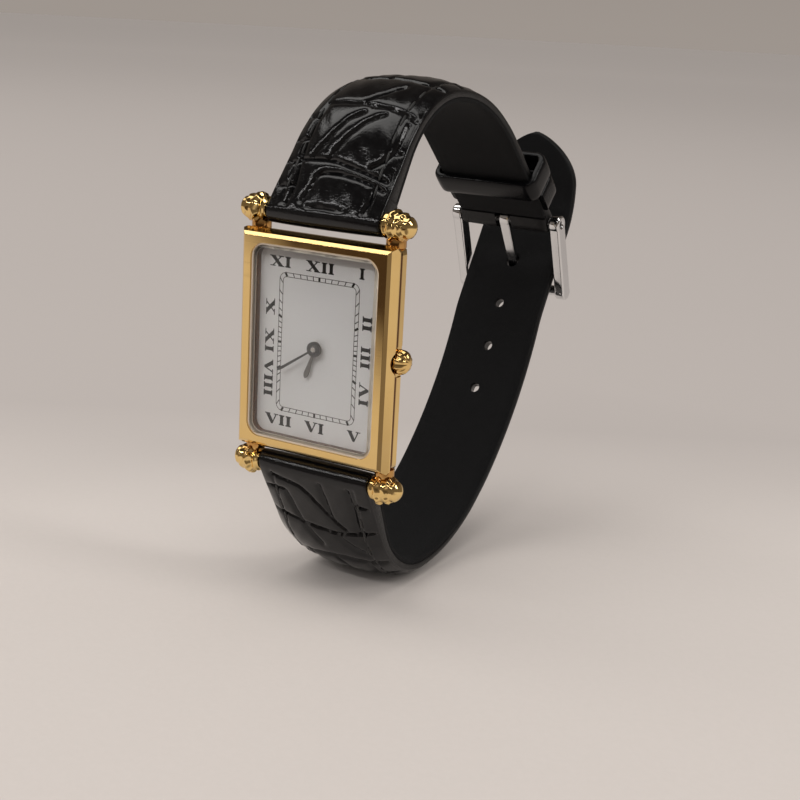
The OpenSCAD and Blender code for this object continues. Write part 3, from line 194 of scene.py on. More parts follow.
for name, place, aim, size, power, colour in (
        ("top_box", (-500, -110, 1250), (-500, -110, 0), (1900, 640), 7.6, (1.0, 0.98, 0.95)),
        ("front_box", (-350, -950, 820), (-350, 0, 0), (1500, 50), 3.6, (1.0, 0.98, 0.97)),
        ("side_box", (1280, 220, 990), (0, 20, 0), (360, 700), 4.4, (1.0, 0.98, 0.96))):
    data = bpy.data.lights.new(name, "AREA")
    data.shape, data.energy, data.color = "RECTANGLE", power, colour
    data.size, data.size_y = size[0] * MM, size[1] * MM
    lamp = bpy.data.objects.new(name, data)
    bpy.context.scene.collection.objects.link(lamp)
    lamp.location = Vector(place) * MM
    lamp.rotation_euler = (Vector(aim) - Vector(place)).to_track_quat("-Z", "Y").to_euler()

# Case middle: a gilt brass band with a rim for the bezel, a chamfered rear and the wall round the dial.
# It is stamped, milled, polished on the wheel and gold-plated, so its flats carry faint hairlines.
# Depths are counted from the front of the case, which lies case_depth in front of the origin.
case_depth = 5.4


def effect(name, size, start, *outputs):
    """A shader node group fed by a place and one named size; returns it with its two ends."""
    group = bpy.data.node_groups.new(name, "ShaderNodeTree")
    group.interface.new_socket("Vector", in_out="INPUT", socket_type="NodeSocketVector")
    group.interface.new_socket(size, in_out="INPUT", socket_type="NodeSocketFloat").default_value = start
    for label in outputs:
        group.interface.new_socket(label, in_out="OUTPUT", socket_type="NodeSocketFloat")
    return group, group.nodes.new("NodeGroupInput").outputs, group.nodes.new("NodeGroupOutput")


def use(tree, group, **values):
    made = tree.nodes.new("ShaderNodeGroup")
    made.node_tree = group
    fill(tree, made, values)
    return made.outputs


def scuffed(tree, cloud, low, high, gloss, dull, marks, share):
    """A roughness that follows the clouding and rises where the marks are."""
    clouding = spread(tree, cloud, low, high, gloss, dull)
    return maths(tree, "ADD", clouding, maths(tree, "MULTIPLY", marks, share))


polish_marks, given, result = effect("polish_marks", "Density", 900.0, "Lines", "Clouds")
lines = None
for turn, share in ((0.4, 1.0), (1.3, 0.8), (2.5, 1.2)):
    turned = add_node(polish_marks, "ShaderNodeMapping", {"Vector": given["Vector"],
                      "Rotation": (turn, turn * 0.7, turn), "Scale": (0.03, share, share)})
    streak = spread(polish_marks, noise(polish_marks, turned.outputs["Vector"], given["Density"]), 0.62, 0.8)
    lines = streak if lines is None else maths(polish_marks, "MAXIMUM", lines, streak)
fill(polish_marks, result, {"Lines": lines, "Clouds": noise(polish_marks, given["Vector"], 260.0, 5.0)})


def polished(name, colour, deep, gloss=0.04, dull=0.09, density=900.0, tinted=blend_colours):
    """Polished metal: a mirror clouded by handling, with hairlines in it. tinted(tree, clouds, colour, deep)
    gives its colour."""
    material, tree, shader, place = add_material(name)
    marks = use(tree, polish_marks, Vector=place, Density=density)
    rough = scuffed(tree, marks["Clouds"], 0.35, 0.65, gloss, dull, marks["Lines"], 0.1)
    fill(tree, shader, {"Base Color": tinted(tree, marks["Clouds"], colour, deep), "Metallic": 1.0,
                        "Roughness": rough, "Normal": bump(tree, marks["Lines"], 0.004, 0.25)})
    return material


def groove_shaded(tree, clouds, colour, deep):
    """Gilding painted darker in the groove behind the bezel: painted shade in the recess."""
    depth = axis(tree, add_node(tree, "ShaderNodeTexCoord").outputs["Object"], "Y")
    groove_shade = spread(tree, depth, (2.15 - case_depth) * MM, (2.35 - case_depth) * MM, 1.0, 0.0)
    return blend_colours(tree, groove_shade, blend_colours(tree, clouds, colour, deep), (0.13, 0.05, 0.012))


def as_mesh(made, name):
    mesh = bpy.data.meshes.new(name)
    made.to_mesh(mesh)
    made.free()
    return mesh


def smoothed(mesh, angle):
    mesh.shade_smooth()
    mesh.set_sharp_from_angle(angle=radians(angle))
    return mesh


def settle(piece):
    """Keeps what a piece's modifiers make of it as its plain mesh."""
    done = bpy.data.meshes.new_from_object(piece.evaluated_get(bpy.context.evaluated_depsgraph_get()))
    piece.modifiers.clear()
    piece.data = done


def refined(node, material, body, width, segments=2, angle=35, smooth=30):
    """A copy of a node with its outer edges rounded, which stands for the node."""
    made = bmesh.new()
    made.from_mesh(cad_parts[node].data)
    bmesh.ops.remove_doubles(made, verts=made.verts, dist=2e-6)
    bmesh.ops.dissolve_limit(made, angle_limit=radians(0.6), verts=made.verts, edges=made.edges)
    bmesh.ops.recalc_face_normals(made, faces=made.faces)
    edges = [e for e in made.edges if len(e.link_faces) == 2 and e.is_convex
             and e.calc_face_angle(0) > radians(angle)]
    bmesh.ops.bevel(made, geom=edges, offset=width * MM, offset_type="OFFSET", segments=segments,
                    profile=0.5, affect="EDGES", clamp_overlap=True)
    name = node + "_finished"
    piece = add_object(name, smoothed(as_mesh(made, name), smooth), material)
    weighted = piece.modifiers.new("weighted", "WEIGHTED_NORMAL")
    weighted.mode, weighted.weight, weighted.keep_sharp = "FACE_AREA", 50, True
    settle(piece)
    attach(piece, body)
    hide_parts(node)
    return piece


gilt = (0.90, 0.65, 0.29), (0.85, 0.58, 0.22)
gold = polished("case_gold", *gilt)
# The band's gilding carries painted shade in the groove behind the bezel.
band_gold = polished("band_gold", *gilt, tinted=groove_shaded)
refined("case_middle", band_gold, "case", 0.07, smooth=16)

# Bezel: a frame of the same gilt brass, pressed on the rim of the case middle.
# Its front is flat, with two steep facets round it that meet in sharp mitres and a straight rear edge.
refined("bezel", gold, "case", 0.09, 3, 13, 14)

# Crystal and its gasket: flat mineral glass with a polished bevel and ground sides, held by a ring of
# tan nylon that shows through its edge. The other seals, behind and at the crown, are black rubber.
def finish(tree, shader, mask, colours, rough, depth, strength=0.4, reach=(0.3, 0.7), **more):
    """Fills a shader from one mask: two colours, a roughness or a pair of them, and a relief in mm."""
    if isinstance(rough, tuple):
        rough = spread(tree, mask, *reach, *rough)
    fill(tree, shader, {"Base Color": blend_colours(tree, mask, *colours), "Roughness": rough,
                        "Normal": bump(tree, mask, depth, strength), **more})


def moulded(name, colour, deep, rough, scale=1800.0, depth=0.008, detail=5.0, **more):
    """A moulded or coated surface with a fine mottle."""
    material, tree, shader, place = add_material(name)
    finish(tree, shader, noise(tree, place, scale, detail), (colour, deep), rough, depth, **more)
    return material


def dress(material, *nodes):
    """Gives CAD nodes a finish; their meshes stay as they are."""
    for node in nodes:
        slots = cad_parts[node].data.materials
        slots.clear()
        slots.append(material)


rubber = moulded("gasket_rubber", (0.012, 0.012, 0.012), (0.03, 0.029, 0.028), (0.45, 0.65), 1500.0, 0.01, 4.0)
dress(rubber, "case_back_gasket", "crown_gasket")
nylon = moulded("gasket_nylon", (0.66, 0.57, 0.47), (0.74, 0.65, 0.55), (0.4, 0.55), 1500.0, 0.01, 4.0)
dress(nylon, "crystal_gasket")


def clear_glass(name, low, high, tint):
    """Glass of a given roughness. Lamps shine through it, so the dial below is lit."""
    material, tree, shader, place = add_material(name)
    smear = noise(tree, place, 220.0, 4.0)
    specks = spread(tree, noise(tree, place, 2600.0, 2.0), 0.74, 0.8)
    fill(tree, shader, {"Base Color": tint, "Transmission Weight": 1.0, "IOR": 1.5, "Specular IOR Level": 0.3,
                        "Roughness": spread(tree, smear, 0.5, 0.8, low, high),
                        "Normal": bump(tree, specks, 0.002, 0.1)})
    see_through = add_node(tree, "ShaderNodeBsdfTransparent", {"Color": (0.97, 0.975, 0.97)})
    shadow_ray = add_node(tree, "ShaderNodeLightPath").outputs["Is Shadow Ray"]
    mixed = add_node(tree, "ShaderNodeMixShader", {0: shadow_ray, 1: shader.outputs["BSDF"],
                     2: see_through.outputs["BSDF"]})
    tree.links.new(mixed.outputs[0], tree.nodes["Material Output"].inputs["Surface"])
    return material


# The crystal's ground sides are cream and glow faintly: the glow is painted light, standing for light gathered
# through the glass.
ground_edge, tree, shader, place = add_material("ground_edge")
cloud = noise(tree, place, 1800.0, 4.0)
painted_glow = blend_colours(tree, cloud, (0.24, 0.18, 0.12), (0.29, 0.22, 0.15))
finish(tree, shader, cloud, ((0.52, 0.42, 0.29), (0.60, 0.49, 0.35)), 0.7, 0.01,
       **{"Emission Color": painted_glow, "Emission Strength": 0.6})
crystal = refined("crystal", clear_glass("crystal_glass", 0.0, 0.015, (0.98, 0.99, 0.985)), "case", 0.02)
crystal.data.materials.append(ground_edge)
crystal.data.materials.append(clear_glass("bevel_glass", 0.28, 0.34, (0.80, 0.69, 0.52)))
side_tilt, flat_tilt = 0.2, 0.97
for face in crystal.data.polygons:
    tilt = abs(face.normal.y)
    face.material_index = 1 if tilt < side_tilt else 2 if tilt < flat_tilt else 0

# Dial: a thin brass plate under white lacquer, on two feet. Its track and numerals are pad-printed
# in black. The print stands 0.015 mm proud, as real ink does under a loupe.
white, tree, shader, place = add_material("dial_lacquer")
grain, cloud = noise(tree, place, 5000.0, 2.0), noise(tree, place, 150.0)
fill(tree, shader, {"Base Color": blend_colours(tree, cloud, (0.79, 0.775, 0.78), (0.755, 0.74, 0.745)),
                    "Roughness": spread(tree, cloud, 0.3, 0.7, 0.32, 0.42),
                    "Normal": bump(tree, grain, 0.001, 0.3)})
dress(white, "dial")
ink = moulded("dial_ink", (0.003, 0.003, 0.0035), (0.009, 0.009, 0.0095), (0.35, 0.5), 3500.0, 0.003, 3.0,
              **{"Specular IOR Level": 0.2})
soft_ink = moulded("track_ink", (0.09, 0.075, 0.065), (0.13, 0.115, 0.10), 0.45, 3500.0, 0.003, 3.0)
dial_front = 1.85 - case_depth
print_back, print_front = dial_front + 0.01, dial_front - 0.015


def tied(piece, body, node=None):
    """Ties a finished piece to the body that carries it and to the CAD node that it stands for."""
    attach(piece, body)
    if node:
        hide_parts(node)
    return piece


def printed(name, outlines, material):
    """Ink on the dial: outlines (x, z) joined into one flat shape and given the thickness of print."""
    flat, loops = [], []
    for outline in outlines:
        loops.append(list(range(len(flat), len(flat) + len(outline))))
        flat += [Vector(p) for p in outline]
    corners, _, tris, _, _, owners = delaunay_2d_cdt(flat, [], loops, 1, 1e-4)
    made = bmesh.new()
    verts = [made.verts.new((c.x * MM, print_back * MM, c.y * MM)) for c in corners]
    faces = [made.faces.new([verts[i] for i in t]) for t, owner in zip(tris, owners) if owner]
    for raised in bmesh.ops.extrude_face_region(made, geom=faces, use_keep_orig=True)["geom"]:
        if isinstance(raised, bmesh.types.BMVert):
            raised.co.y = print_front * MM
    bmesh.ops.recalc_face_normals(made, faces=made.faces)
    tied(add_object(name, as_mesh(made, name), material), "case")


def block(x0, x1, z0, z1):
    return [(x0, z0), (x0, z1), (x1, z1), (x1, z0)]


# Each letter has its outlines, its full width and its pitch to the next.
top = 1.36
letters = {
    "I": ([[(0, 0), (0.76, 0), (0.76, 0.13), (0.61, 0.20), (0.61, top - 0.20), (0.76, top - 0.13), (0.76, top),
            (0, top), (0, top - 0.13), (0.15, top - 0.20), (0.15, 0.20), (0, 0.13)]], 0.76, 0.96),
    "V": ([[(0.08, top - 0.05), (0.64, top - 0.05), (1.22, 0.30), (1.14, 0.0), (0.88, 0.0)],
           [(1.50, top - 0.05), (1.68, top - 0.05), (1.12, 0.0), (0.98, 0.0)],
           block(0, 0.76, top, top - 0.12), block(1.26, 1.92, top, top - 0.12)], 1.92, 2.02),
    "X": ([[(0.11, top - 0.05), (0.74, top - 0.05), (1.95, 0.05), (1.32, 0.05)],
           [(1.50, top - 0.05), (1.70, top - 0.05), (0.54, 0.05), (0.34, 0.05)],
           block(0, 0.86, top, top - 0.12), block(1.22, 1.94, top, top - 0.12),
           block(0.08, 0.80, 0, 0.12), block(1.18, 2.06, 0, 0.12)], 2.06, 2.18)}
numerals = [("XII", 0, 10.2, 0, 4.2), ("I", 6.2, 10.2, 0, .72), ("II", 7.25, 4.2, -1, 1.8),
            ("III", 7.2, 0, -1, 2.7), ("IV", 7.2, -4.6, 1, 2.9), ("V", 6.0, -10.2, 0, 2.0),
            ("VI", 0, -10.2, 0, 2.95), ("VII", -5.6, -10.2, 0, 4.1), ("VIII", -7.3, -4.9, -1, 4.8),
            ("IX", -7.3, 0, 1, 3.05), ("X", -7.3, 4.3, 1, 2.2), ("XI", -6.0, 10.2, 0, 3.2)]
outlines = []
for text, x, z, turn, length in numerals:
    shapes, at, end = [], 0.0, 0.0
    for letter in text:
        drawn, wide, pitch = letters[letter]
        shapes += [[(at + a, b) for a, b in shape] for shape in drawn]
        end = at + wide
        at += pitch
    for shape in shapes:
        flat = [((a - end / 2) * (length / end), b - top / 2) for a, b in shape]
        outlines.append([(x - turn * b, z + turn * a) if turn else (x + a, z + b) for a, b in flat])
printed("numerals", outlines, ink)

track_gap, line_w = 0.52, 0.085
track = (6.01, 8.95, 1.0), (6.01 - track_gap, 8.95 - track_gap, 0.55)


def round_frame(half_x, half_z, radius, steps=8):
    return [(sx * (half_x - radius) + radius * cos(a), sz * (half_z - radius) + radius * sin(a))
            for sx, sz, start in ((1, 1, 0), (-1, 1, 90), (-1, -1, 180), (1, -1, 270))
            for a in [radians(start + 90 * k / steps) for k in range(steps + 1)]]


outlines = []
for sizes in track:
    outer, inner = round_frame(*sizes), round_frame(*[size - line_w for size in sizes])
    pairs = list(zip(outer, inner))
    outlines += [[o0, o1, i1, i0] for (o0, i0), (o1, i1) in zip(pairs, pairs[1:] + pairs[:1])]
printed("track_lines", outlines, soft_ink)

# Geometry Nodes that put a piece on each point, turned and stretched as the point says.
repeats = bpy.data.node_groups.new("repeats", "GeometryNodeTree")
for label, kind in (("Geometry", "Geometry"), ("Piece", "Object"), ("Finish", "Material"),
                    ("Unevenness", "Float"), ("Seed", "Int")):
    entry = repeats.interface.new_socket(label, in_out="INPUT", socket_type="NodeSocket" + kind)
entry.default_value = 7
repeats.interface.new_socket("Geometry", in_out="OUTPUT", socket_type="NodeSocketGeometry")
given = repeats.nodes.new("NodeGroupInput").outputs
result = repeats.nodes.new("NodeGroupOutput")
turn, size = [add_node(repeats, "GeometryNodeInputNamedAttribute", {"Name": name},
                       data_type="FLOAT_VECTOR").outputs[0] for name in ("turn", "size")]
jitter = add_node(repeats, "FunctionNodeRandomValue", {"Seed": given["Seed"]}, data_type="FLOAT").outputs[1]
uneven = add_node(repeats, "ShaderNodeMath", {0: jitter, 1: given["Unevenness"], 2: 1.0},
                  operation="MULTIPLY_ADD")
grown = add_node(repeats, "ShaderNodeVectorMath", {0: size, "Scale": uneven.outputs[0]}, operation="SCALE")
source = add_node(repeats, "GeometryNodeObjectInfo", {"Object": given["Piece"]})
placed = add_node(repeats, "GeometryNodeInstanceOnPoints", {"Points": given["Geometry"], "Rotation": turn,
                  "Instance": source.outputs["Geometry"], "Scale": grown.outputs[0]})
real = add_node(repeats, "GeometryNodeRealizeInstances", {"Geometry": placed.outputs["Instances"]})
painted = add_node(repeats, "GeometryNodeSetMaterial", {"Geometry": real.outputs["Geometry"],
                   "Material": given["Finish"]})
repeats.links.new(painted.outputs["Geometry"], result.inputs["Geometry"])


def repeated(name, piece_mesh, spots, material, body, unevenness):
    """Runs the tree on spots (place in mm, turn, size) and keeps its result as a plain mesh."""
    carrier = add_object(name + "_spots", mesh_from(name + "_spots", [s[0] for s in spots], []))
    for index, label in ((1, "turn"), (2, "size")):
        layer = carrier.data.attributes.new(label, "FLOAT_VECTOR", "POINT")
        layer.data.foreach_set("vector", np.asarray([s[index] for s in spots], np.float32).ravel())
    sample = add_object(name + "_sample", piece_mesh)
    modifier = carrier.modifiers.new("repeat", "NODES")
    modifier.node_group = repeats
    keys = {item.name: item.identifier for item in repeats.interface.items_tree if item.in_out == "INPUT"}
    modifier[keys["Piece"]] = sample
    modifier[keys["Finish"]] = material
    modifier[keys["Unevenness"]] = unevenness
    settle(carrier)
    plain = carrier.data
    for used in (carrier, sample):
        bpy.data.objects.remove(used)
    for label in ("turn", "size"):
        if label in plain.attributes:
            plain.attributes.remove(plain.attributes[label])
    piece = add_object(name, plain)
    if not plain.materials:
        plain.materials.append(material)
    tied(piece, body)


def frame_reach(half_x, half_z, radius, angle):
    """How far the ray from the centre at an angle goes before it meets the rounded frame."""
    ca, sa = abs(cos(angle)), abs(sin(angle))
    low, high = 0.0, half_x + half_z
    for _ in range(40):
        mid = (low + high) / 2
        x, z = mid * ca, mid * sa
        past = max(x - (half_x - radius), 0), max(z - (half_z - radius), 0)
        inside = x <= half_x and z <= half_z and hypot(*past) <= radius
        low, high = (mid, high) if inside else (low, mid)
    return low


tick = bmesh.new()
bmesh.ops.create_cube(tick, size=MM)
tick_w, five_w, tick_h = 0.11, 0.30, 0.028
spots = []
for minute in range(60):
    angle = radians(90 - 6 * minute)
    outer, inner = [frame_reach(*sizes, angle) for sizes in track]
    middle, wide = (inner + outer) / 2, tick_w if minute % 5 else five_w
    spots.append(((middle * cos(angle), (print_back + print_front) / 2, middle * sin(angle)),
                  (0, -angle, 0), (outer - inner, tick_h, wide)))
repeated("minute_ticks", as_mesh(tick, "tick"), spots, ink, "case", 0.0)

# Movement: a quartz calibre on a nickel-plated brass plate in a moulded ring, held by a bridge and screws.
# Plates are grained with a belt, wheels are brass, the arbors steel.
grained, given, result = effect("grained", "Density", 500.0, "Grain")
turned = add_node(grained, "ShaderNodeMapping", {"Vector": given["Vector"], "Scale": (0.02, 1.0, 1.0)})
fill(grained, result, {"Grain": noise(grained, turned.outputs["Vector"], given["Density"], 6.0)})


def machined(name, colour, deep, rough, density=2200.0, depth=0.004, strength=0.5, metal=1.0, **more):
    """Metal with fine straight graining, machined and plated."""
    material, tree, shader, place = add_material(name)
    grain = use(tree, grained, Vector=place, Density=density)["Grain"]
    finish(tree, shader, grain, (colour, deep), rough, depth, strength, Metallic=metal, **more)
    return material


nickel = machined("nickel_plate", (0.62, 0.60, 0.56), (0.50, 0.48, 0.45), (0.22, 0.38))
steel = machined("bright_steel", (0.60, 0.60, 0.60), (0.48, 0.48, 0.49), (0.16, 0.3), 3000.0)
brass = machined("wheel_brass", (0.78, 0.60, 0.30), (0.66, 0.47, 0.20), (0.2, 0.34), 3000.0)
dress(nickel, "main_plate", "train_bridge", "battery_clamp")
dress(moulded("ring_plastic", (0.62, 0.60, 0.55), (0.55, 0.53, 0.48), (0.45, 0.6)), "movement_ring")
dress(steel, "movement_screws", "setting_wheel", "setting_lever", "yoke", "stem", "cannon_pinion", "quartz_can")
dress(brass, "hour_wheel", "minute_wheel", "third_wheel", "intermediate_wheel", "sliding_pinion")
# The centre wheel's arbor is nickelled where it shows in front of the hands.
arbor, tree, shader, place = add_material("centre_brass")
front = spread(tree, axis(tree, place, "Y"), -4.2 * MM, -4.1 * MM, 1.0, 0.0)
grain = use(tree, grained, Vector=place, Density=3000.0)["Grain"]
fill(tree, shader, {"Base Color": blend_colours(tree, front, (0.74, 0.55, 0.26), (0.62, 0.59, 0.56)),
                    "Metallic": 1.0, "Roughness": spread(tree, grain, 0.3, 0.7, 0.24, 0.36),
                    "Normal": bump(tree, grain, 0.003, 0.4)})
dress(arbor, "centre_wheel")

# Motor: a bobbin of fine enamelled copper wire on a soft iron core, between the stator's poles.
# The turns of wire run round the core, and the rotor is a small sintered magnet.
def waves(tree, place, direction, **more):
    made = add_node(tree, "ShaderNodeTexWave", {"Vector": place, **more}, bands_direction=direction)
    return made.outputs["Fac"]


winding, tree, shader, place = add_material("copper_winding")
turns = waves(tree, place, "X", Scale=1800.0, Distortion=0.4, Detail=2.0)
finish(tree, shader, turns, ((0.30, 0.09, 0.03), (0.60, 0.22, 0.09)), (0.45, 0.28), 0.02, 0.8, (0, 1),
       Metallic=1.0)
dress(winding, "coil_winding")
dress(machined("soft_iron", (0.36, 0.35, 0.34), (0.28, 0.27, 0.27), (0.3, 0.45)), "stator", "coil_core")
dress(moulded("magnet", (0.05, 0.05, 0.055), (0.10, 0.10, 0.105), (0.35, 0.55), 4000.0), "rotor")

# Time base and power: a green circuit board with a chip under a drop of resin, a quartz can,
# and a button cell between its contact and its clamp.
board, tree, shader, place = add_material("circuit_lacquer")
fibre = add_node(tree, "ShaderNodeTexBrick", {"Vector": place, "Scale": 900.0, "Color1": (0.0, 0.0, 0.0),
                 "Color2": (0.3, 0.3, 0.3), "Mortar": (1.0, 1.0, 1.0)}).outputs["Color"]
finish(tree, shader, fibre, ((0.01, 0.07, 0.03), (0.02, 0.13, 0.05)), 0.35, 0.006)
dress(board, "circuit_board")
dress(moulded("chip_resin", (0.010, 0.010, 0.011), (0.03, 0.03, 0.03), (0.25, 0.4)), "timing_chip")
dress(machined("cell_steel", (0.66, 0.65, 0.62), (0.55, 0.54, 0.52), (0.2, 0.34), 1500.0), "battery")
dress(machined("contact_gilt", (0.85, 0.66, 0.30), (0.75, 0.54, 0.22), (0.2, 0.32)), "battery_contact")

# Hands: blanked from brass sheet, filed flat, lacquered, and pressed on the pipes of the motion works.
# The minute hand is black, the hour hand dark grey.
paint = {"rough": (0.3, 0.42), "density": 2600.0, "depth": 0.002, "strength": 0.3, "metal": 0.0,
         "Coat Weight": 0.4}
black_lacquer = machined("minute_hand_lacquer", (0.010, 0.010, 0.011), (0.02, 0.02, 0.022), **paint)
grey_lacquer = machined("hour_hand_lacquer", (0.085, 0.075, 0.07), (0.12, 0.11, 0.10), **paint)
refined("hour_hand", grey_lacquer, "hour_work", 0.02)
refined("minute_hand", black_lacquer, "minute_work", 0.02)

# Case back: a snap-on lid of stainless steel with a bevelled edge and a notch for the case knife.
# It is brushed in one direction and has no marks on it.
back_steel, tree, shader, place = add_material("back_steel")
grain = use(tree, grained, Vector=place, Density=1800.0)["Grain"]
lines = use(tree, polish_marks, Vector=place, Density=600.0)["Lines"]
fill(tree, shader, {"Base Color": blend_colours(tree, grain, (0.62, 0.61, 0.60), (0.50, 0.49, 0.48)),
                    "Metallic": 1.0, "Roughness": scuffed(tree, grain, 0.3, 0.7, 0.22, 0.34, lines, 0.15),
                    "Normal": bump(tree, lines, 0.005, 0.4, Normal=bump(tree, grain, 0.003, 0.4))})
dress(back_steel, "case_back")

# Crown: gilt brass, turned with a domed end and milled with ten flutes for the fingers.
# It is screwed on the stem and runs in its seal.
def faced_out(mesh, smooth):
    """Merges doubles, turns the closed mesh's faces outward and smooths all but its sharp edges."""
    made = bmesh.new()
    made.from_mesh(mesh)
    bmesh.ops.remove_doubles(made, verts=made.verts, dist=1e-7)
    bmesh.ops.recalc_face_normals(made, faces=made.faces)
    if made.calc_volume(signed=True) < 0:
        bmesh.ops.reverse_faces(made, faces=made.faces)
    made.to_mesh(mesh)
    made.free()
    return smoothed(mesh, smooth)


def turned_piece(profile, steps, at, flute=lambda angle, radius, along: (along, radius)):
    """Spins a profile of (along, radius) about X, from pole to pole; flute may move a point."""
    points, faces, done = [], [], 0
    for along, radius in profile:
        for k in range(steps if radius > 0 else 1):
            angle = 2 * pi * k / steps
            a, r = flute(angle, radius, along)
            points.append(tuple(at @ Vector((a, r * cos(angle), r * sin(angle)))))
    for (_, r0), (_, r1) in zip(profile, profile[1:]):
        n0, n1 = (steps if r0 > 0 else 1), (steps if r1 > 0 else 1)
        for k in range(steps):
            ring = [done + k % n0, done + (k + 1) % n0, done + n0 + (k + 1) % n1, done + n0 + k % n1]
            faces.append(list(dict.fromkeys(ring)))
        done += n0
    return points, faces


def crown_flute(angle, radius, along):
    if along < -0.001:
        return along, radius
    groove_shade = abs(sin(5 * angle)) ** 1.4
    return along, radius - 0.17 * (1 - groove_shade) * min(max((radius - 0.15) / 1.1, 0.0), 1.0)


crown_start, crown_depth = 11.25, 2.75
crown_profile = [(0.70, 0.0), (0.70, 0.31), (-1.97, 0.31), (-1.97, 0.9), (0.0, 0.9), (0.0, 1.40), (0.03, 1.50),
                 (0.14, 1.59)]
dome = [radians(90 * k / 32) for k in range(1, 32)]
crown_profile += [(0.14 + 1.46 * sin(a), 1.6 * cos(a) ** 0.9) for a in dome] + [(1.6, 0.0)]
crown_gold = polished("crown_gold", (0.93, 0.665, 0.27), (0.86, 0.56, 0.20), 0.06, 0.12)
crown_at = Matrix.Translation((crown_start, crown_depth - case_depth, 0))
points, faces = turned_piece(crown_profile, 200, crown_at, crown_flute)
crown = add_object("crown_turned", faced_out(mesh_from("crown_turned", points, faces), 40), crown_gold)
tied(crown, "winding", "crown")

# Lugs: four beehive finials, turned from brass rod with three waved rings and a domed cap, then gilt.
# Each is silver-soldered on a round neck that rises from the case band, and is bored for the bar's tip.
bar_depth, bar_height = 2.5, 16.35
finial_start, neck_side, neck_depth = 8.55, 10.0, 2.8
crests = [(0.0, 1.2), (0.42, 1.6), (0.8, 1.48), (1.42, 2.08), (2.02, 1.72), (2.6, 1.76), (3.12, 1.36),
          (3.45, 1.33)]
hive = [(0.86, 0.0), (0.86, 0.42), (0.0, 0.42)]
for (a0, r0), (a1, r1) in zip(crests, crests[1:]):
    hive += [(a0 + (a1 - a0) * k / 12, r0 + (r1 - r0) * (0.5 - 0.5 * cos(pi * k / 12)))
             for k in range(12)]
hive += [(3.45 + 0.9 * k / 16, 1.33 * (1 - (k / 16) ** 1.5) ** 0.75) for k in range(16)] + [(4.35, 0.0)]
neck = [(13.8, 0.0), (13.8, 1.25), (15.5, 1.25), (15.9, 1.1), (15.9, 0.0)]
peg = [(12.92, 0.0), (12.92, 0.72), (12.98, 0.78), (14.2, 0.78), (14.2, 0.0)]


def hive_wave(angle, radius, along):
    """The rings run in ten waves round the finial."""
    shift = 0.14 * cos(10 * angle) * sin(pi * min(max((along - 0.3) / 3.5, 0.0), 1.0))
    return along + shift, radius


points, faces = [], []
for sx in (-1, 1):
    for sz in (-1, 1):
        finial_at = Matrix(((sx, 0, 0, sx * finial_start), (0, 1, 0, bar_depth - case_depth),
                            (0, 0, 1, sz * bar_height), (0, 0, 0, 1)))
        neck_at = Matrix(((0, 1, 0, sx * neck_side), (0, 0, 1, neck_depth - case_depth), (sz, 0, 0, 0),
                          (0, 0, 0, 1)))
        for more, more_faces in (turned_piece(hive, 120, finial_at, hive_wave), turned_piece(neck, 56, neck_at),
                                 turned_piece(peg, 32, neck_at)):
            faces += [[i + len(points) for i in f] for f in more_faces]
            points += more


def neck_shaded(tree, clouds, colour, deep):
    """Gilding painted redder and darker on the necks, next to the case, as painted shade under the finials, and
    deeper where it is handled.
    """
    place = add_node(tree, "ShaderNodeTexCoord").outputs["Object"]
    height = spread(tree, maths(tree, "ABSOLUTE", axis(tree, place, "Z")), 14.6 * MM, 15.6 * MM)
    tone = blend_colours(tree, height, (0.60, 0.32, 0.10), colour)
    return blend_colours(tree, spread(tree, clouds, 0.45, 0.75, 0.0, 0.4), tone, deep)


# The lugs' gilding carries painted shade on the necks.
lug_gold = polished("lug_gold", (0.92, 0.66, 0.27), (0.70, 0.44, 0.17), 0.05, 0.11, 800.0, neck_shaded)
lugs = add_object("lugs_turned", faced_out(mesh_from("lugs_turned", points, faces), 40), lug_gold)
tied(lugs, "case", "lug_finials")

# Spring bars: steel tubes with a coiled spring and a sliding tip at each end, one through each strap's fold
# and one through the buckle. The springs show fine turns of wire.
spring_wire, tree, shader, place = add_material("spring_wire")
finish(tree, shader, waves(tree, place, "X", Scale=1500.0, Detail=0.0), ((0.16, 0.16, 0.17), (0.5, 0.5, 0.5)),
       0.3, 0.05, 1.0, Metallic=1.0)
dress(spring_wire, "lug_bar_springs", "buckle_bar_springs")
dress(steel, "lug_bar_tubes", "buckle_bar_tube", "bar_tip_upper_right", "bar_tip_upper_left",
      "bar_tip_lower_right", "bar_tip_lower_left", "buckle_tip_right", "buckle_tip_left")

# Short strap: calf embossed with large square scales, padded and folded round the lug bar above and the
# buckle bar below. The wrist side is lined, both long edges are stitched, and the cut edges are painted.
lug_fold, buckle_fold, bar_bore = 1.65, 1.45, 0.8
lining_thick, lining_inset = 0.6, 0.08


def strap_way(side, lean, route):
    """A strap's wrist side, from straight runs and arcs (radius, length or angle): a function that gives the
    depth, the height and the heading at distances along it, and its length."""
    lean = radians(lean)
    start = bar_depth + lug_fold * sin(lean), side * (bar_height - lug_fold * cos(lean))

    def way(along):
        (depth, height), turn, done = start, side * lean, 0.0
        found = np.zeros((len(along), 3))
        for radius, amount in route:
            ahead = along >= done - 1e-9
            t = along[ahead] - done
            if radius == 0:
                found[ahead] = np.stack([depth + t * cos(turn), height + t * sin(turn),
                                         np.full(len(t), turn)], 1)
                depth, height = depth + amount * cos(turn), height + amount * sin(turn)
                done += amount
            else:
                bend = copysign(radius, amount)
                mid_d, mid_z = depth - bend * sin(turn), height + bend * cos(turn)
                now = turn + t / bend
                found[ahead] = np.stack([mid_d + bend * np.sin(now), mid_z - bend * np.cos(now), now], 1)
                turn += radians(amount)
                depth, height = mid_d + bend * sin(turn), mid_z - bend * cos(turn)
                done += radius * radians(abs(amount))
        return found
    return way, sum(a if r == 0 else r * radians(abs(a)) for r, a in route)


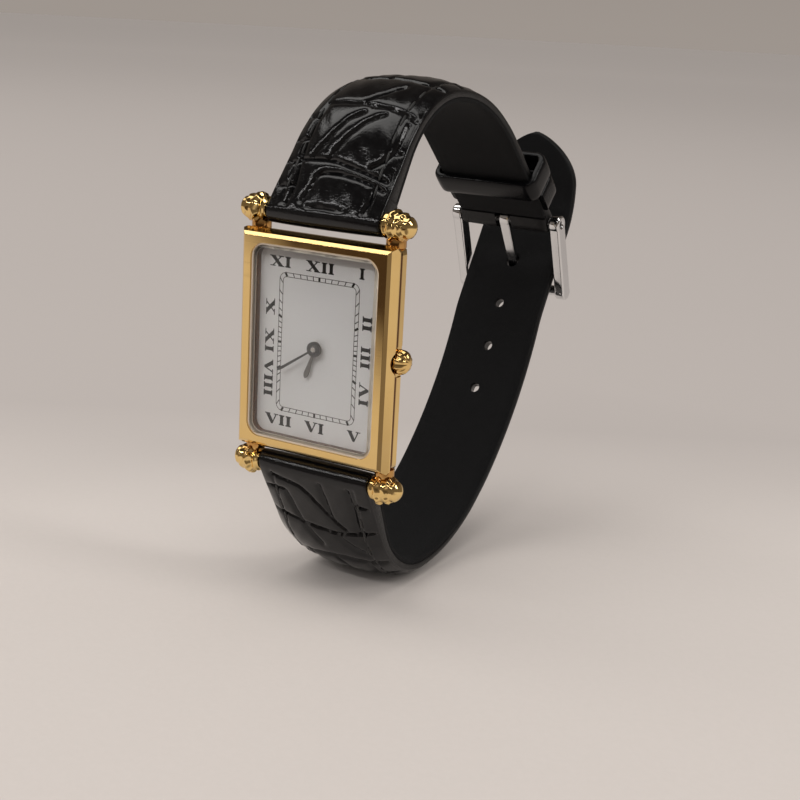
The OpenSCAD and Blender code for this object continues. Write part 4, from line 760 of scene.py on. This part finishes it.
def at_one(way, along):
    return way(np.array([along]))[0]


def strap_skin(name, way, rows, columns, thick, under, half, side, relief=None, wraps=(0, 0), corner=0.35,
               tip=0.0):
    """A closed strap. way(along) gives its wrist side, thick(along, u) and under(along) its two faces in mm
    from it, half(depth, height) its half width. wraps are the radii by which its ends go round bars, and
    tip rounds a free end."""
    crowding, below = 0.86, 10
    centre = np.sin(np.linspace(-1, 1, columns) * pi / 2 * crowding) / sin(pi / 2 * crowding)
    line = way(rows)
    out = np.stack([-side * np.sin(line[:, 2]), side * np.cos(line[:, 2])], 1)
    go = np.stack([np.cos(line[:, 2]), np.sin(line[:, 2])], 1)
    sections, uvs = [], []

    def section(width, top, low, top_at, low_at, v, lift=lambda x: 0.0):
        """One closed loop: top_at(h, u) and low_at(h, u) place a height above the wrist side."""
        edge = top[0]
        c = max(min(corner, (edge - low) * 0.45, width * 0.5), 0.002)
        mark = min(0.1, (edge - low) * 0.2, width * 0.3)
        loop, across = [], []
        for u, h in zip(centre, top):
            x = u * (width - c)
            loop.append((x, *top_at(h + lift(x), u)))
            across.append(x)
        rim = [(width - c + c * sin(a), top_at, edge - c + c * cos(a), width + a * c)
               for a in (radians(30), radians(60), radians(90))]
        rim += [(width, low_at, low + mark, width + 1.5), (width - mark, low_at, low, width + 1.6)]
        for x, place_at, h, u in rim:
            loop.append((x, *place_at(h, 1)))
            across.append(u)
        for k in range(1, below):
            u = 1 - 2 * k / below
            loop.append((u * (width - mark), *low_at(low, u)))
            across.append(width + 2 + (1 - u) * width)
        for x, place_at, h, u in reversed(rim):
            loop.append((-x, *place_at(h, -1)))
            across.append(-u)
        sections.append(loop)
        uvs.append([(u, v) for u in across])

    def wrapped(index, radius, forward):
        """Loops that carry the skin round a bar from its widest row to the far side."""
        aside, ahead = out[index], go[index] * forward
        bar = line[index, :2] + aside * radius
        top = thick(np.array([rows[index]]), centre[None, :])[0]

        def folded(direction, share):
            return lambda h, u: tuple(bar + direction * (
                (h - radius) + (2 * radius - np.interp(u, centre, top)) * share))

        for degrees in (12, 24, 36, 48, 60, 70, 79, 86, 89.4):
            a = radians(degrees)
            up, down = [aside * cos(a) + ahead * sin(a) * s for s in (1, -1)]
            yield (half(*bar), top, 0.0, folded(up, degrees / 180), folded(down, degrees / 180),
                   rows[index] + forward * a * radius)

    if wraps[0]:
        for loop in reversed(list(wrapped(0, wraps[0], -1))):
            section(*loop)
    tops, unders = thick(rows[:, None], centre[None, :]), under(rows)
    for i, s in enumerate(rows):
        top, low = tops[i], unders[i]
        past = (s - (rows[-1] - tip)) / tip if tip else 0
        if past > 0:
            squash = sqrt(max(1 - past * past, 0.0006))
            middle = (top[0] + low) / 2
            top, low = middle + (top - middle) * squash, middle + (low - middle) * squash
        place_at = lambda h, u: tuple(line[i, :2] + out[i] * h)
        lift = [relief[i]] if relief else []
        section(half(*(line[i, :2] + out[i])), top, low, place_at, place_at, s, *lift)
    if wraps[1]:
        for loop in wrapped(len(rows) - 1, wraps[1], 1):
            section(*loop)
    points = np.array(sections)
    points[..., 1] -= case_depth
    rings, n = points.shape[:2]
    index = np.arange(rings * n).reshape(rings, n)
    a, b = index[:-1], index[1:]
    faces = np.stack([a, np.roll(a, -1, 1), np.roll(b, -1, 1), b], -1).reshape(-1, 4).tolist()
    marks = np.zeros((rings - 1, n), int)
    marks[:, columns + 2:columns + 2 + below + 3] = 1
    faces += [index[0, ::-1].tolist(), index[-1].tolist()]
    marks = marks.ravel().tolist() + [1, 1]
    return mesh_from(name, points.reshape(-1, 3), faces, np.array(uvs).reshape(-1, 2), marks)


def smooth_line(line, rounds=2):
    """Cuts a traced line's corners so that it runs as a soft crease."""
    line = np.asarray(line, float)
    for _ in range(rounds):
        a, b = line[:-1] * 0.75 + line[1:] * 0.25, line[:-1] * 0.25 + line[1:] * 0.75
        line = np.concatenate([line[:1], np.stack([a, b], 1).reshape(-1, 2), line[-1:]])
    return line


def distance_to(lines, xs, rows):
    """Distance in mm from each (row, x) of the grid to the nearest crease, as far as it matters."""
    far, near = np.full((len(rows), len(xs)), 9.0), 2.5
    for line in lines:
        for (x0, s0), (x1, s1) in zip(line[:-1], line[1:]):
            r = np.where((rows > min(s0, s1) - near) & (rows < max(s0, s1) + near))[0]
            c = np.where((xs > min(x0, x1) - near) & (xs < max(x0, x1) + near))[0]
            if len(r) == 0 or len(c) == 0:
                continue
            gx, gs = np.meshgrid(xs[c], rows[r])
            span = max((x1 - x0) ** 2 + (s1 - s0) ** 2, 1e-9)
            t = np.clip(((gx - x0) * (x1 - x0) + (gs - s0) * (s1 - s0)) / span, 0, 1)
            d = np.hypot(gx - x0 - t * (x1 - x0), gs - s0 - t * (s1 - s0))
            far[np.ix_(r, c)] = np.minimum(far[np.ix_(r, c)], d)
    return far


def scale_lines(first, last, seed, centre=0.6, rail=4.4, pitch=6.6):
    """Creases of the embossed hide: large scales down the middle between two wavy rails, small ones outside."""
    pick = np.random.RandomState(seed)

    def sway(s, w):
        return centre + w * (rail + 0.45 * sin(s / 5.3 + seed + w) + 0.25 * sin(s / 2.1 + 2 * w))

    lines = [[(sway(s, w), s) for s in np.arange(first, last + 0.5, 0.8)] for w in (-1, 1)]
    s, k = first, 0
    while s < last:
        left, right = sway(s, -1), sway(s, 1)
        skew, bow = pick.uniform(-0.7, 0.7), pick.uniform(-0.5, 0.5)
        lines.append([(left + (right - left) * t,
                       s + skew * (t - 0.5) + bow * sin(pi * t) + pick.uniform(-0.12, 0.12))
                      for t in np.linspace(0, 1, 7)])
        step = pitch * pick.uniform(0.85, 1.1)
        if k % 3 != 1:
            at = centre + pick.uniform(-1.6, 1.6)
            lines.append([(at + pick.uniform(-0.3, 0.3), s + step * t) for t in np.linspace(0.0, 1, 5)])
        s, k = s + step, k + 1
    for w in (-1, 1):
        s = first + pick.uniform(0, 2)
        while s < last:
            x = sway(s, w)
            lines.append([(x, s), (x + w * 1.6, s + pick.uniform(-0.5, 0.5)),
                          (w * 9.0, s + pick.uniform(-0.9, 0.9))])
            s += pick.uniform(2.9, 4.3)
    return lines


def relief_of(lines, way, rows, half, phase):
    """The embossing over a strap: deep creases, plump scales, a sewing groove near each edge. Gives the
    height across each row as a function, and the whole field (xs, rows, heights)."""
    xs = np.linspace(-9, 9, 181)
    far = distance_to([smooth_line(l) for l in lines], xs, rows)
    gx, gs = np.meshgrid(xs, rows)
    swell = 0.03 * np.sin(gx * 1.3 + phase) * np.sin(gs * 0.9 + 1.0) + 0.02 * np.sin(gx * 2.7 + gs * 1.9)
    high = (-0.32 * np.exp(-(far / 0.15) ** 2) - 0.20 * np.exp(-(far / 0.42) ** 2)
            + 0.05 * (1 - np.exp(-(far / 1.5) ** 2)) + swell)
    inset = np.array([half(*p[:2]) for p in way(rows)])[:, None] - np.abs(gx)
    high *= np.clip((inset - 0.1) / 1.3, 0.0, 1.0) * 0.75 + 0.25 * np.clip(inset / 0.5, 0, 1)
    high -= 0.16 * np.exp(-((inset - 2.0) / 0.22) ** 2)
    high *= (np.clip((rows - rows[0]) / 0.6, 0, 1) * np.clip((rows[-1] - rows) / 0.6, 0, 1))[:, None]
    return [lambda x, row=row: float(np.interp(x, xs, row)) for row in high], (xs, rows, high)


def half_width(end):
    return lambda depth, height: float(np.interp(depth, [3, 34], [8.4, end]))


def thickness(table, edges):
    table, edges = np.array(table), np.array(edges)

    def at(along, u):
        full = np.interp(along, table[:, 0], table[:, 1])
        edge = np.minimum(np.interp(along, edges[:, 0], edges[:, 1]), full)
        return edge + (full - edge) * np.clip(1 - np.abs(u) ** 2.6, 0, 1) ** 0.9
    return at


def cut(piece, *cutters):
    """Cuts shapes out of a piece and keeps the result as a plain mesh."""
    for cutter in cutters:
        modifier = piece.modifiers.new("cut", "BOOLEAN")
        modifier.operation, modifier.solver, modifier.object = "DIFFERENCE", "MANIFOLD", cutter
    settle(piece)
    for cutter in cutters:
        bpy.data.objects.remove(cutter)


def cutter_rod(start, end, radius):
    """A round cutter between two points (x, depth, height)."""
    a, b = (Vector((x, depth - case_depth, height)) for x, depth, height in (start, end))
    made = bmesh.new()
    bmesh.ops.create_cone(made, cap_ends=True, segments=48, radius1=radius * MM, radius2=radius * MM,
                          depth=(b - a).length * MM)
    turn = (b - a).to_track_quat("Z", "Y").to_matrix().to_4x4()
    made.transform(Matrix.Translation((a + b) / 2 * MM) @ turn)
    return add_object("cutter", as_mesh(made, "cutter"))


def bar_cutter(depth, height):
    return cutter_rod((-10, depth, height), (10, depth, height), bar_bore)


leather_grain, given, result = effect("leather_grain", "Size", 1.6, "Height", "Tone", "Rub")
cells = add_node(leather_grain, "ShaderNodeTexVoronoi", {"Vector": given["Vector"], "Scale": given["Size"]},
                 feature="DISTANCE_TO_EDGE")
pebble = spread(leather_grain, cells.outputs["Distance"], 0.0, 0.18)
wrinkle = noise(leather_grain, given["Vector"], maths(leather_grain, "MULTIPLY", given["Size"], 0.9), 6.0,
                Roughness=0.65, Distortion=0.6)
fill(leather_grain, result, {
    "Height": maths(leather_grain, "ADD", maths(leather_grain, "MULTIPLY", pebble, 0.35), wrinkle),
    "Tone": noise(leather_grain, given["Vector"], 0.35),
    "Rub": spread(leather_grain, noise(leather_grain, given["Vector"], 0.9, 6.0), 0.45, 0.75)})


def leather_finish(name, depth, gloss, dull, shine):
    """Glazed black calf on the piece's own map, which is in millimetres."""
    material, tree, shader, place = add_material(name, "UV")
    grain = use(tree, leather_grain, Vector=place, Size=2.6)
    tone = blend_colours(tree, grain["Rub"], (0.003, 0.003, 0.0035), (0.0065, 0.0065, 0.007))
    rough = scuffed(tree, grain["Tone"], 0.3, 0.7, gloss, dull, grain["Rub"], 0.05)
    fill(tree, shader, {"Base Color": tone, "Specular IOR Level": shine, "Roughness": rough,
                        "Normal": bump(tree, grain["Height"], depth, 0.8)})
    return material


embossed = leather_finish("embossed_calf", 0.016, 0.07, 0.13, 0.45)
edge_paint, tree, shader, place = add_material("edge_paint", "UV")
grain = use(tree, leather_grain, Vector=place, Size=2.5)
tone = blend_colours(tree, grain["Tone"], (0.004, 0.004, 0.0045), (0.010, 0.0095, 0.0095))
fill(tree, shader, {"Base Color": tone, "Specular IOR Level": 0.3,
                    "Roughness": spread(tree, grain["Height"], 0.3, 0.9, 0.28, 0.45),
                    "Normal": bump(tree, grain["Height"], 0.05, 0.6)})
lining_calf, tree, shader, place = add_material("lining_calf", "UV")
fibres = noise(tree, place, 5.0, 8.0, Roughness=0.75)
dust = spread(tree, noise(tree, place, 7.0, 2.0), 0.70, 0.76)
nap = blend_colours(tree, fibres, (0.003, 0.003, 0.0035), (0.012, 0.012, 0.0125))
fill(tree, shader, {"Base Color": blend_colours(tree, dust, nap, (0.09, 0.085, 0.08)),
                    "Specular IOR Level": 0.15, "Roughness": spread(tree, fibres, 0.3, 0.7, 0.8, 0.95),
                    "Sheen Weight": 0.03, "Sheen Roughness": 0.5, "Normal": bump(tree, fibres, 0.2, 0.9)})


def strap_leather(mesh, body, node, *cutters):
    """The padded outer of a strap: its skin, bored for the bars and the tongue."""
    piece = add_object(mesh.name, faced_out(mesh, 50), embossed, edge_paint)
    cut(piece, *cutters)
    piece.data.set_sharp_from_angle(angle=radians(50))
    tied(piece, body, node)


def strap_lining(name, way, rows, half, side, body, node, *cutters):
    """The lining of the wrist side, a little narrower than the strap."""
    mesh = strap_skin(name, way, rows, 25, lambda s, u: np.full(np.broadcast(s, u).shape, lining_thick),
                      lambda s: np.zeros(len(s)), lambda d, z: half(d, z) - lining_inset, side,
                      corner=0.08, tip=0.2)
    mesh.polygons.foreach_set("material_index", np.zeros(len(mesh.polygons), np.int32))
    piece = add_object(name, faced_out(mesh, 50), lining_calf)
    if cutters:
        cut(piece, *cutters)
    tied(piece, body, node)


upper_way, upper_long = strap_way(1, 60, [(0, 3.2), (0, 5.8), (14, -60), (24, -43), (0, 14.8), (5, -20),
                                          (0, 1)])
upper_thick = thickness(
    [(0, 3.3), (14, 3.3), (38, 2.1), (56, 2.1), (58.4, 2.9), (70, 2.9)],
    [(0, 3.0), (2, 2.8), (8, 2.05), (12, 1.75), (30, 1.55), (56, 1.6), (58.4, 2.6), (70, 2.8)])
traced_upper = [
    [(-5.8, 6.7), (-3.0, 6.8), (-0.4, 6.8), (2.0, 6.2), (4.8, 5.6), (7.5, 5.0)],
    [(-5.6, 14.4), (-4.0, 14.4), (-1.9, 14.4), (1.1, 14.3), (4.6, 14.1), (7.2, 13.8)],
    [(-1.5, 7.0), (-0.6, 9.1), (0.4, 10.5), (1.9, 12.1), (3.7, 13.2)],
    [(-4.1, 7.1), (-2.9, 9.2), (-1.8, 10.8), (-0.9, 12.3), (0.8, 13.1)],
    [(7.0, 12.5), (7.1, 10.6), (6.9, 9.1), (5.9, 7.5), (4.6, 6.3)], [(7.0, 8.9), (8.8, 9.1)],
    [(7.1, 13.5), (9.0, 13.2)],
    [(-3.4, 1.1), (-2.7, 3.2), (-2.3, 5.0), (0.2, 5.2), (2.5, 5.0), (5.6, 4.4), (7.5, 3.7)],
    [(6.1, 3.8), (6.1, 2.2), (5.7, 0.3)], [(-2.3, 0.2), (-0.2, 0.5), (2.8, 0.2)],
    [(7.6, 6.6), (8.0, 5.0), (8.4, 2.5), (8.4, 0.5)], [(-0.4, 14.4), (1.6, 16.2), (3.2, 18.1)],
    [(7.7, 14.4), (8.2, 16.6), (8.8, 18.4)],
    [(-5.6, 14.4), (-5.9, 11.0), (-5.8, 6.7), (-5.2, 3.0), (-5.6, 0.5)], [(-5.9, 9.6), (-9.0, 9.2)],
    [(-5.8, 12.6), (-9.0, 12.9)], [(-5.7, 6.4), (-9.0, 6.2)], [(-5.3, 3.2), (-9.0, 2.9)]]
rows = np.append(np.arange(0, upper_long, 0.2), upper_long)
upper_half = half_width(7.1)
relief, upper_field = relief_of(traced_upper + scale_lines(20.2, 57.5, 3), upper_way, rows, upper_half, 1)
skin = strap_skin("short_strap_calf", upper_way, rows, 95, upper_thick,
                  lambda s: np.interp(s, [3.1, 3.3, 57.6, 57.8], [0.0, lining_thick, lining_thick, 0.0]),
                  upper_half, 1, relief, (lug_fold, buckle_fold))
depth, height, turn = at_one(upper_way, upper_long)
buckle_bar = depth - buckle_fold * sin(turn), height + buckle_fold * cos(turn)
slot_lean, slot_ahead, slot_size = -63, 3.6, (2.6, 10.8, 7.2)
slot_box = bmesh.new()
bmesh.ops.create_cube(slot_box, size=1, matrix=Matrix.Translation(
    Vector((0, buckle_bar[0] - case_depth, buckle_bar[1])) * MM) @ Matrix.Rotation(radians(slot_lean), 4, "X")
    @ Matrix.Translation((0, slot_ahead * MM, 0)) @ Matrix.Diagonal([v * MM for v in slot_size] + [1]))
strap_leather(skin, "short_strap", "upper_strap", bar_cutter(bar_depth, bar_height), bar_cutter(*buckle_bar),
              add_object("slot", as_mesh(slot_box, "slot")))
strap_lining("short_strap_lining", upper_way, np.append(np.arange(3.2, 57.7, 0.5), 57.75), upper_half, 1,
             "short_strap", "upper_lining")

# Long strap: made as the short one, with a pointed tip and six holes. The hole in use is drawn
# along the tongue. Its tail stands free, outside the keepers.
tail, point_long, point_end = 8, 7.6, 7.64
lower_way, lower_long = strap_way(-1, 67, [(0, 3.2), (0, 5.3), (11.2, 67), (25.2, 45), (58, 24), (14, -9),
                                           (0, 13.3), (11, 32), (0, tail)])
lower_thick = thickness([(0, 3.3), (10, 3.3), (45, 1.8), (120, 1.8)],
                        [(0, 3.0), (2, 2.8), (8, 2.05), (12, 1.75), (30, 1.5), (120, 1.45)])
traced_lower = [
    [(-6.5, 0.9), (-4.2, 1.3), (-1.9, 1.6), (0.6, 4.4), (3.8, 7.7)], [(-4.6, 3.2), (-3.6, 6.3), (-3.0, 7.8)],
    [(-3.3, 7.7), (-1.0, 8.1), (2.1, 8.4), (4.4, 8.2), (7.9, 7.7)], [(-3.0, 7.8), (-1.8, 9.2), (-0.7, 10.4)],
    [(2.1, 8.4), (3.9, 9.9), (5.4, 10.8)], [(5.4, 0.6), (5.8, 4.0), (5.6, 8.0)], [(5.6, 3.2), (9.0, 3.6)],
    [(-5.0, 3.0), (-9.0, 3.3)], [(-3.2, 7.7), (-9.0, 7.4)], [(1.2, 0.6), (1.6, 3.0), (2.0, 5.6)]]
tail_height = at_one(lower_way, lower_long)[1]


def lower_half(depth, height):
    """Half the width, down to the point of the tail."""
    t = min(max((height - tail_height + point_long) / point_end, 0.0), 1.0)
    return max(min(half_width(7.0)(depth, height), 7.0 * (1 - t ** 1.9) ** 0.74 if t > 0 else 99.0), 0.3)


rows = np.append(np.arange(0, lower_long - tail, 0.2), np.linspace(lower_long - tail, lower_long, 60))
relief, lower_field = relief_of(traced_lower + scale_lines(12.8, 94.0, 11, 0.0), lower_way, rows, lower_half, 5)
skin = strap_skin("long_strap_calf", lower_way, rows, 95, lower_thick,
                  lambda s: np.interp(s, [3.1, 3.3], [0.0, lining_thick]), lower_half, -1, relief,
                  (lug_fold, 0), tip=0.45)
buckled_at, first_hole, hole_pitch, hole_radius, used_radius = 67.8833, 6.95, 6.8, 0.75, 1.05
front_ahead, front_out, front_radius, blade_thick, blade_gap, tongue_drop = 4.4, 2.9, 0.75, 0.7, 0.03, 0.95
depth, height, turn = at_one(lower_way, buckled_at)
front_bar = (depth + front_ahead * cos(turn) + front_out * sin(turn),
             height + front_ahead * sin(turn) - front_out * cos(turn))
between = front_bar[0] - buckle_bar[0], front_bar[1] - buckle_bar[1]
rise = front_radius + blade_thick / 2 + blade_gap + tongue_drop
tongue_turn = atan2(between[1], between[0]) + asin(rise / hypot(*between))
tongue_long = sqrt(hypot(*between) ** 2 - rise ** 2)


def on_tongue(along):
    """A point (x, depth, height) under the tongue's blade."""
    go, drop = (cos(tongue_turn), sin(tongue_turn)), -tongue_drop
    return 0, buckle_bar[0] + along * go[0] - drop * go[1], buckle_bar[1] + along * go[1] + drop * go[0]


def buckle_holes():
    cutters = []
    for k in (-3, -2, -1, 1, 2):
        depth, height, turn = at_one(lower_way, buckled_at + first_hole + hole_pitch * k)
        ends = [(0, depth + out * sin(turn), height - out * cos(turn)) for out in (-4, 4)]
        cutters.append(cutter_rod(*ends, hole_radius))
    near_bar = tongue_long - (front_radius + blade_thick)
    return cutters + [cutter_rod(on_tongue(tongue_long * 0.3), on_tongue(near_bar), used_radius)]


strap_leather(skin, "long_strap", "lower_strap", bar_cutter(bar_depth, -bar_height), *buckle_holes())
lining_rows = np.append(np.arange(3.2, lower_long - tail, 0.5),
                        np.linspace(lower_long - tail, lower_long - 0.1, 40))
strap_lining("long_strap_lining", lower_way, lining_rows, lower_half, -1, "long_strap", "lower_lining",
             *buckle_holes())

# Stitches: waxed black linen thread, saddle-stitched by machine 2 mm inside both edges of each strap.
# Each stitch lies in its groove and dips into its holes at both ends.
thread, tree, shader, place = add_material("waxed_thread")
finish(tree, shader, waves(tree, place, "DIAGONAL", Scale=1500.0, Distortion=1.5),
       ((0.006, 0.006, 0.006), (0.03, 0.029, 0.028)), (0.5, 0.35), 0.03, 0.8, (0, 1))
points, faces = turned_piece([(-0.88, 0), (-0.8, 0.10), (-0.5, 0.17), (0, 0.19), (0.5, 0.17), (0.8, 0.10),
                              (0.88, 0)], 8, Matrix.Identity(4))
stitch = faced_out(mesh_from("stitch", points, faces), 180)
edge_gap, stitch_pitch = 2.0, 2.35


def stitch_spots(way, side, half, thick, field, last, first=3.6):
    """Where each stitch lies on the embossed face, and how it is turned, down one edge and then the other."""
    xs, strap_rows, high = field
    spots = []
    for sign in (-1, 1):
        s, before = first, None
        while s < last:
            depth, height, turn = at_one(way, s)
            width = half(depth, height)
            x = sign * (width - edge_gap)
            if width < edge_gap + 0.3:
                break
            here = Vector((x, s))
            if before is None or (here - before).length >= stitch_pitch:
                ahead = at_one(way, min(s + 0.5, last + 1))
                slope = sign * (half(*ahead[:2]) - width) / 0.5
                u, inward = x / (width - 0.35), 0.03
                h, h_in = [float(thick(np.array([s]), np.array([at]))[0]) for at in (u, u - inward * sign)]
                tilt = (h - h_in) / (inward * (width - 0.35)) * sign
                row = int(np.clip(np.searchsorted(strap_rows, s), 0, len(strap_rows) - 1))
                h += float(np.interp(x, xs, high[row])) + 0.02
                out = Vector((0, -side * sin(turn), side * cos(turn)))
                go = (Vector((0, cos(turn), sin(turn))) + Vector((slope, 0, 0))).normalized()
                aside = (out - Vector((tilt, 0, 0))).normalized().cross(go).normalized()
                turned = Matrix((go, aside, go.cross(aside))).transposed().to_euler()
                spots.append(((x, depth - case_depth + out.y * h, height + out.z * h), tuple(turned),
                              (1, 1, 1)))
                before = here
            s += 0.05
    return spots


spots = stitch_spots(upper_way, 1, upper_half, upper_thick, upper_field, 55.5)
repeated("short_strap_stitches", stitch.copy(), spots, thread, "short_strap", 0.05)
spots = stitch_spots(lower_way, -1, lower_half, lower_thick, lower_field, 94.0)
repeated("long_strap_stitches", stitch, spots, thread, "long_strap", 0.05)

# Keepers: two bands of plain glazed calf, folded and glued. The fixed one is glued to both edges
# of the short strap, the floating one slides on it.
band_calf = leather_finish("band_calf", 0.02, 0.14, 0.24, 0.2)
run_start = 41.6737
run_depth, run_height, run_turn = at_one(upper_way, run_start)
corner, wall, long = 0.7, 0.9, 3.6
band = [(0.12, 0.0), (0.9, 0.0), (1.8, 0.0), (2.7, 0.0), (long - 0.12, 0.0), (long - 0.03, 0.04), (long, 0.13),
        (long, wall * 0.5), (long - 0.04, wall - 0.30), (long - 0.16, wall - 0.16), (long - 0.4, wall - 0.06),
        (2.6, wall - 0.01), (1.8, wall), (1.0, wall - 0.01), (0.4, wall - 0.06), (0.16, wall - 0.16),
        (0.04, wall - 0.30), (0, wall * 0.5), (0, 0.13), (0.03, 0.04)]


def keeper(name, along, half_x, low, high, open_foot, body, node):
    """A band of calf round the run of the short strap, with a crowned face and rolled edges."""
    rise, across = high - corner - low, 2 * half_x - 2 * corner
    path = [((-half_x, low + rise * k / 5), (-1, 0)) for k in range(6)] if open_foot else []
    for sx, sz, start in ((-1, 1, 180), (1, 1, 90), (1, -1, 0), (-1, -1, -90))[:2 if open_foot else 4]:
        for a in [radians(start - 90 * k / 8) for k in range(9)]:
            x, z = sx * (half_x - corner), (high - corner) if sz > 0 else (low + corner)
            path.append(((x + corner * cos(a), z + corner * sin(a)), (cos(a), sin(a))))
        if sx * sz < 0:
            x, z = sx * (half_x - corner), high if sz > 0 else low
            path += [((x - sx * across * k / 24, z), (0, sz)) for k in range(1, 24)]
    if open_foot:
        path += [((half_x, high - corner - rise * k / 5), (1, 0)) for k in range(1, 6)]
    go, out = (cos(run_turn), sin(run_turn)), (-sin(run_turn), cos(run_turn))
    points, uvs, travelled = [], [], 0.0
    for k, ((x, z), (nx, nz)) in enumerate(path):
        travelled += dist(path[k - 1][0], (x, z)) if k else 0.0
        for y, o in band:
            px, pz = x + nx * o, z + nz * o
            points.append((px, run_depth - case_depth + go[0] * (along + y) + out[0] * pz,
                           run_height + go[1] * (along + y) + out[1] * pz))
            uvs.append((travelled * 1.1, y + o))
    n, m = len(band), len(path)
    faces = [(i * n + j, i * n + (j + 1) % n, ((i + 1) % m) * n + (j + 1) % n, ((i + 1) % m) * n + j)
             for i in range(m - 1 if open_foot else m) for j in range(n)]
    if open_foot:
        faces += [tuple(range(n)), tuple(reversed(range((m - 1) * n, m * n)))]
    piece = add_object(name, faced_out(mesh_from(name, points, faces, uvs), 60), band_calf)
    tied(piece, body, node)


keeper("keeper_floating", 7.0, 7.35, -0.5, 4.3, False, "floating_keeper", "floating_keeper")
keeper("keeper_fixed", 11.0, 7.1, 0.6, 4.3, True, "short_strap", "fixed_keeper")

# Buckle: a pin buckle cast in brass, polished and chromed. Two side arms and the front bar are one piece,
# and the tongue is a flat blade on a loop round the rear bar.
chrome = polished("buckle_chrome", (0.80, 0.80, 0.80), (0.70, 0.70, 0.71), 0.05, 0.13)
refined("buckle_frame", chrome, "buckle", 0.32, 4)
refined("buckle_tongue", chrome, "tongue", 0.16, 3)
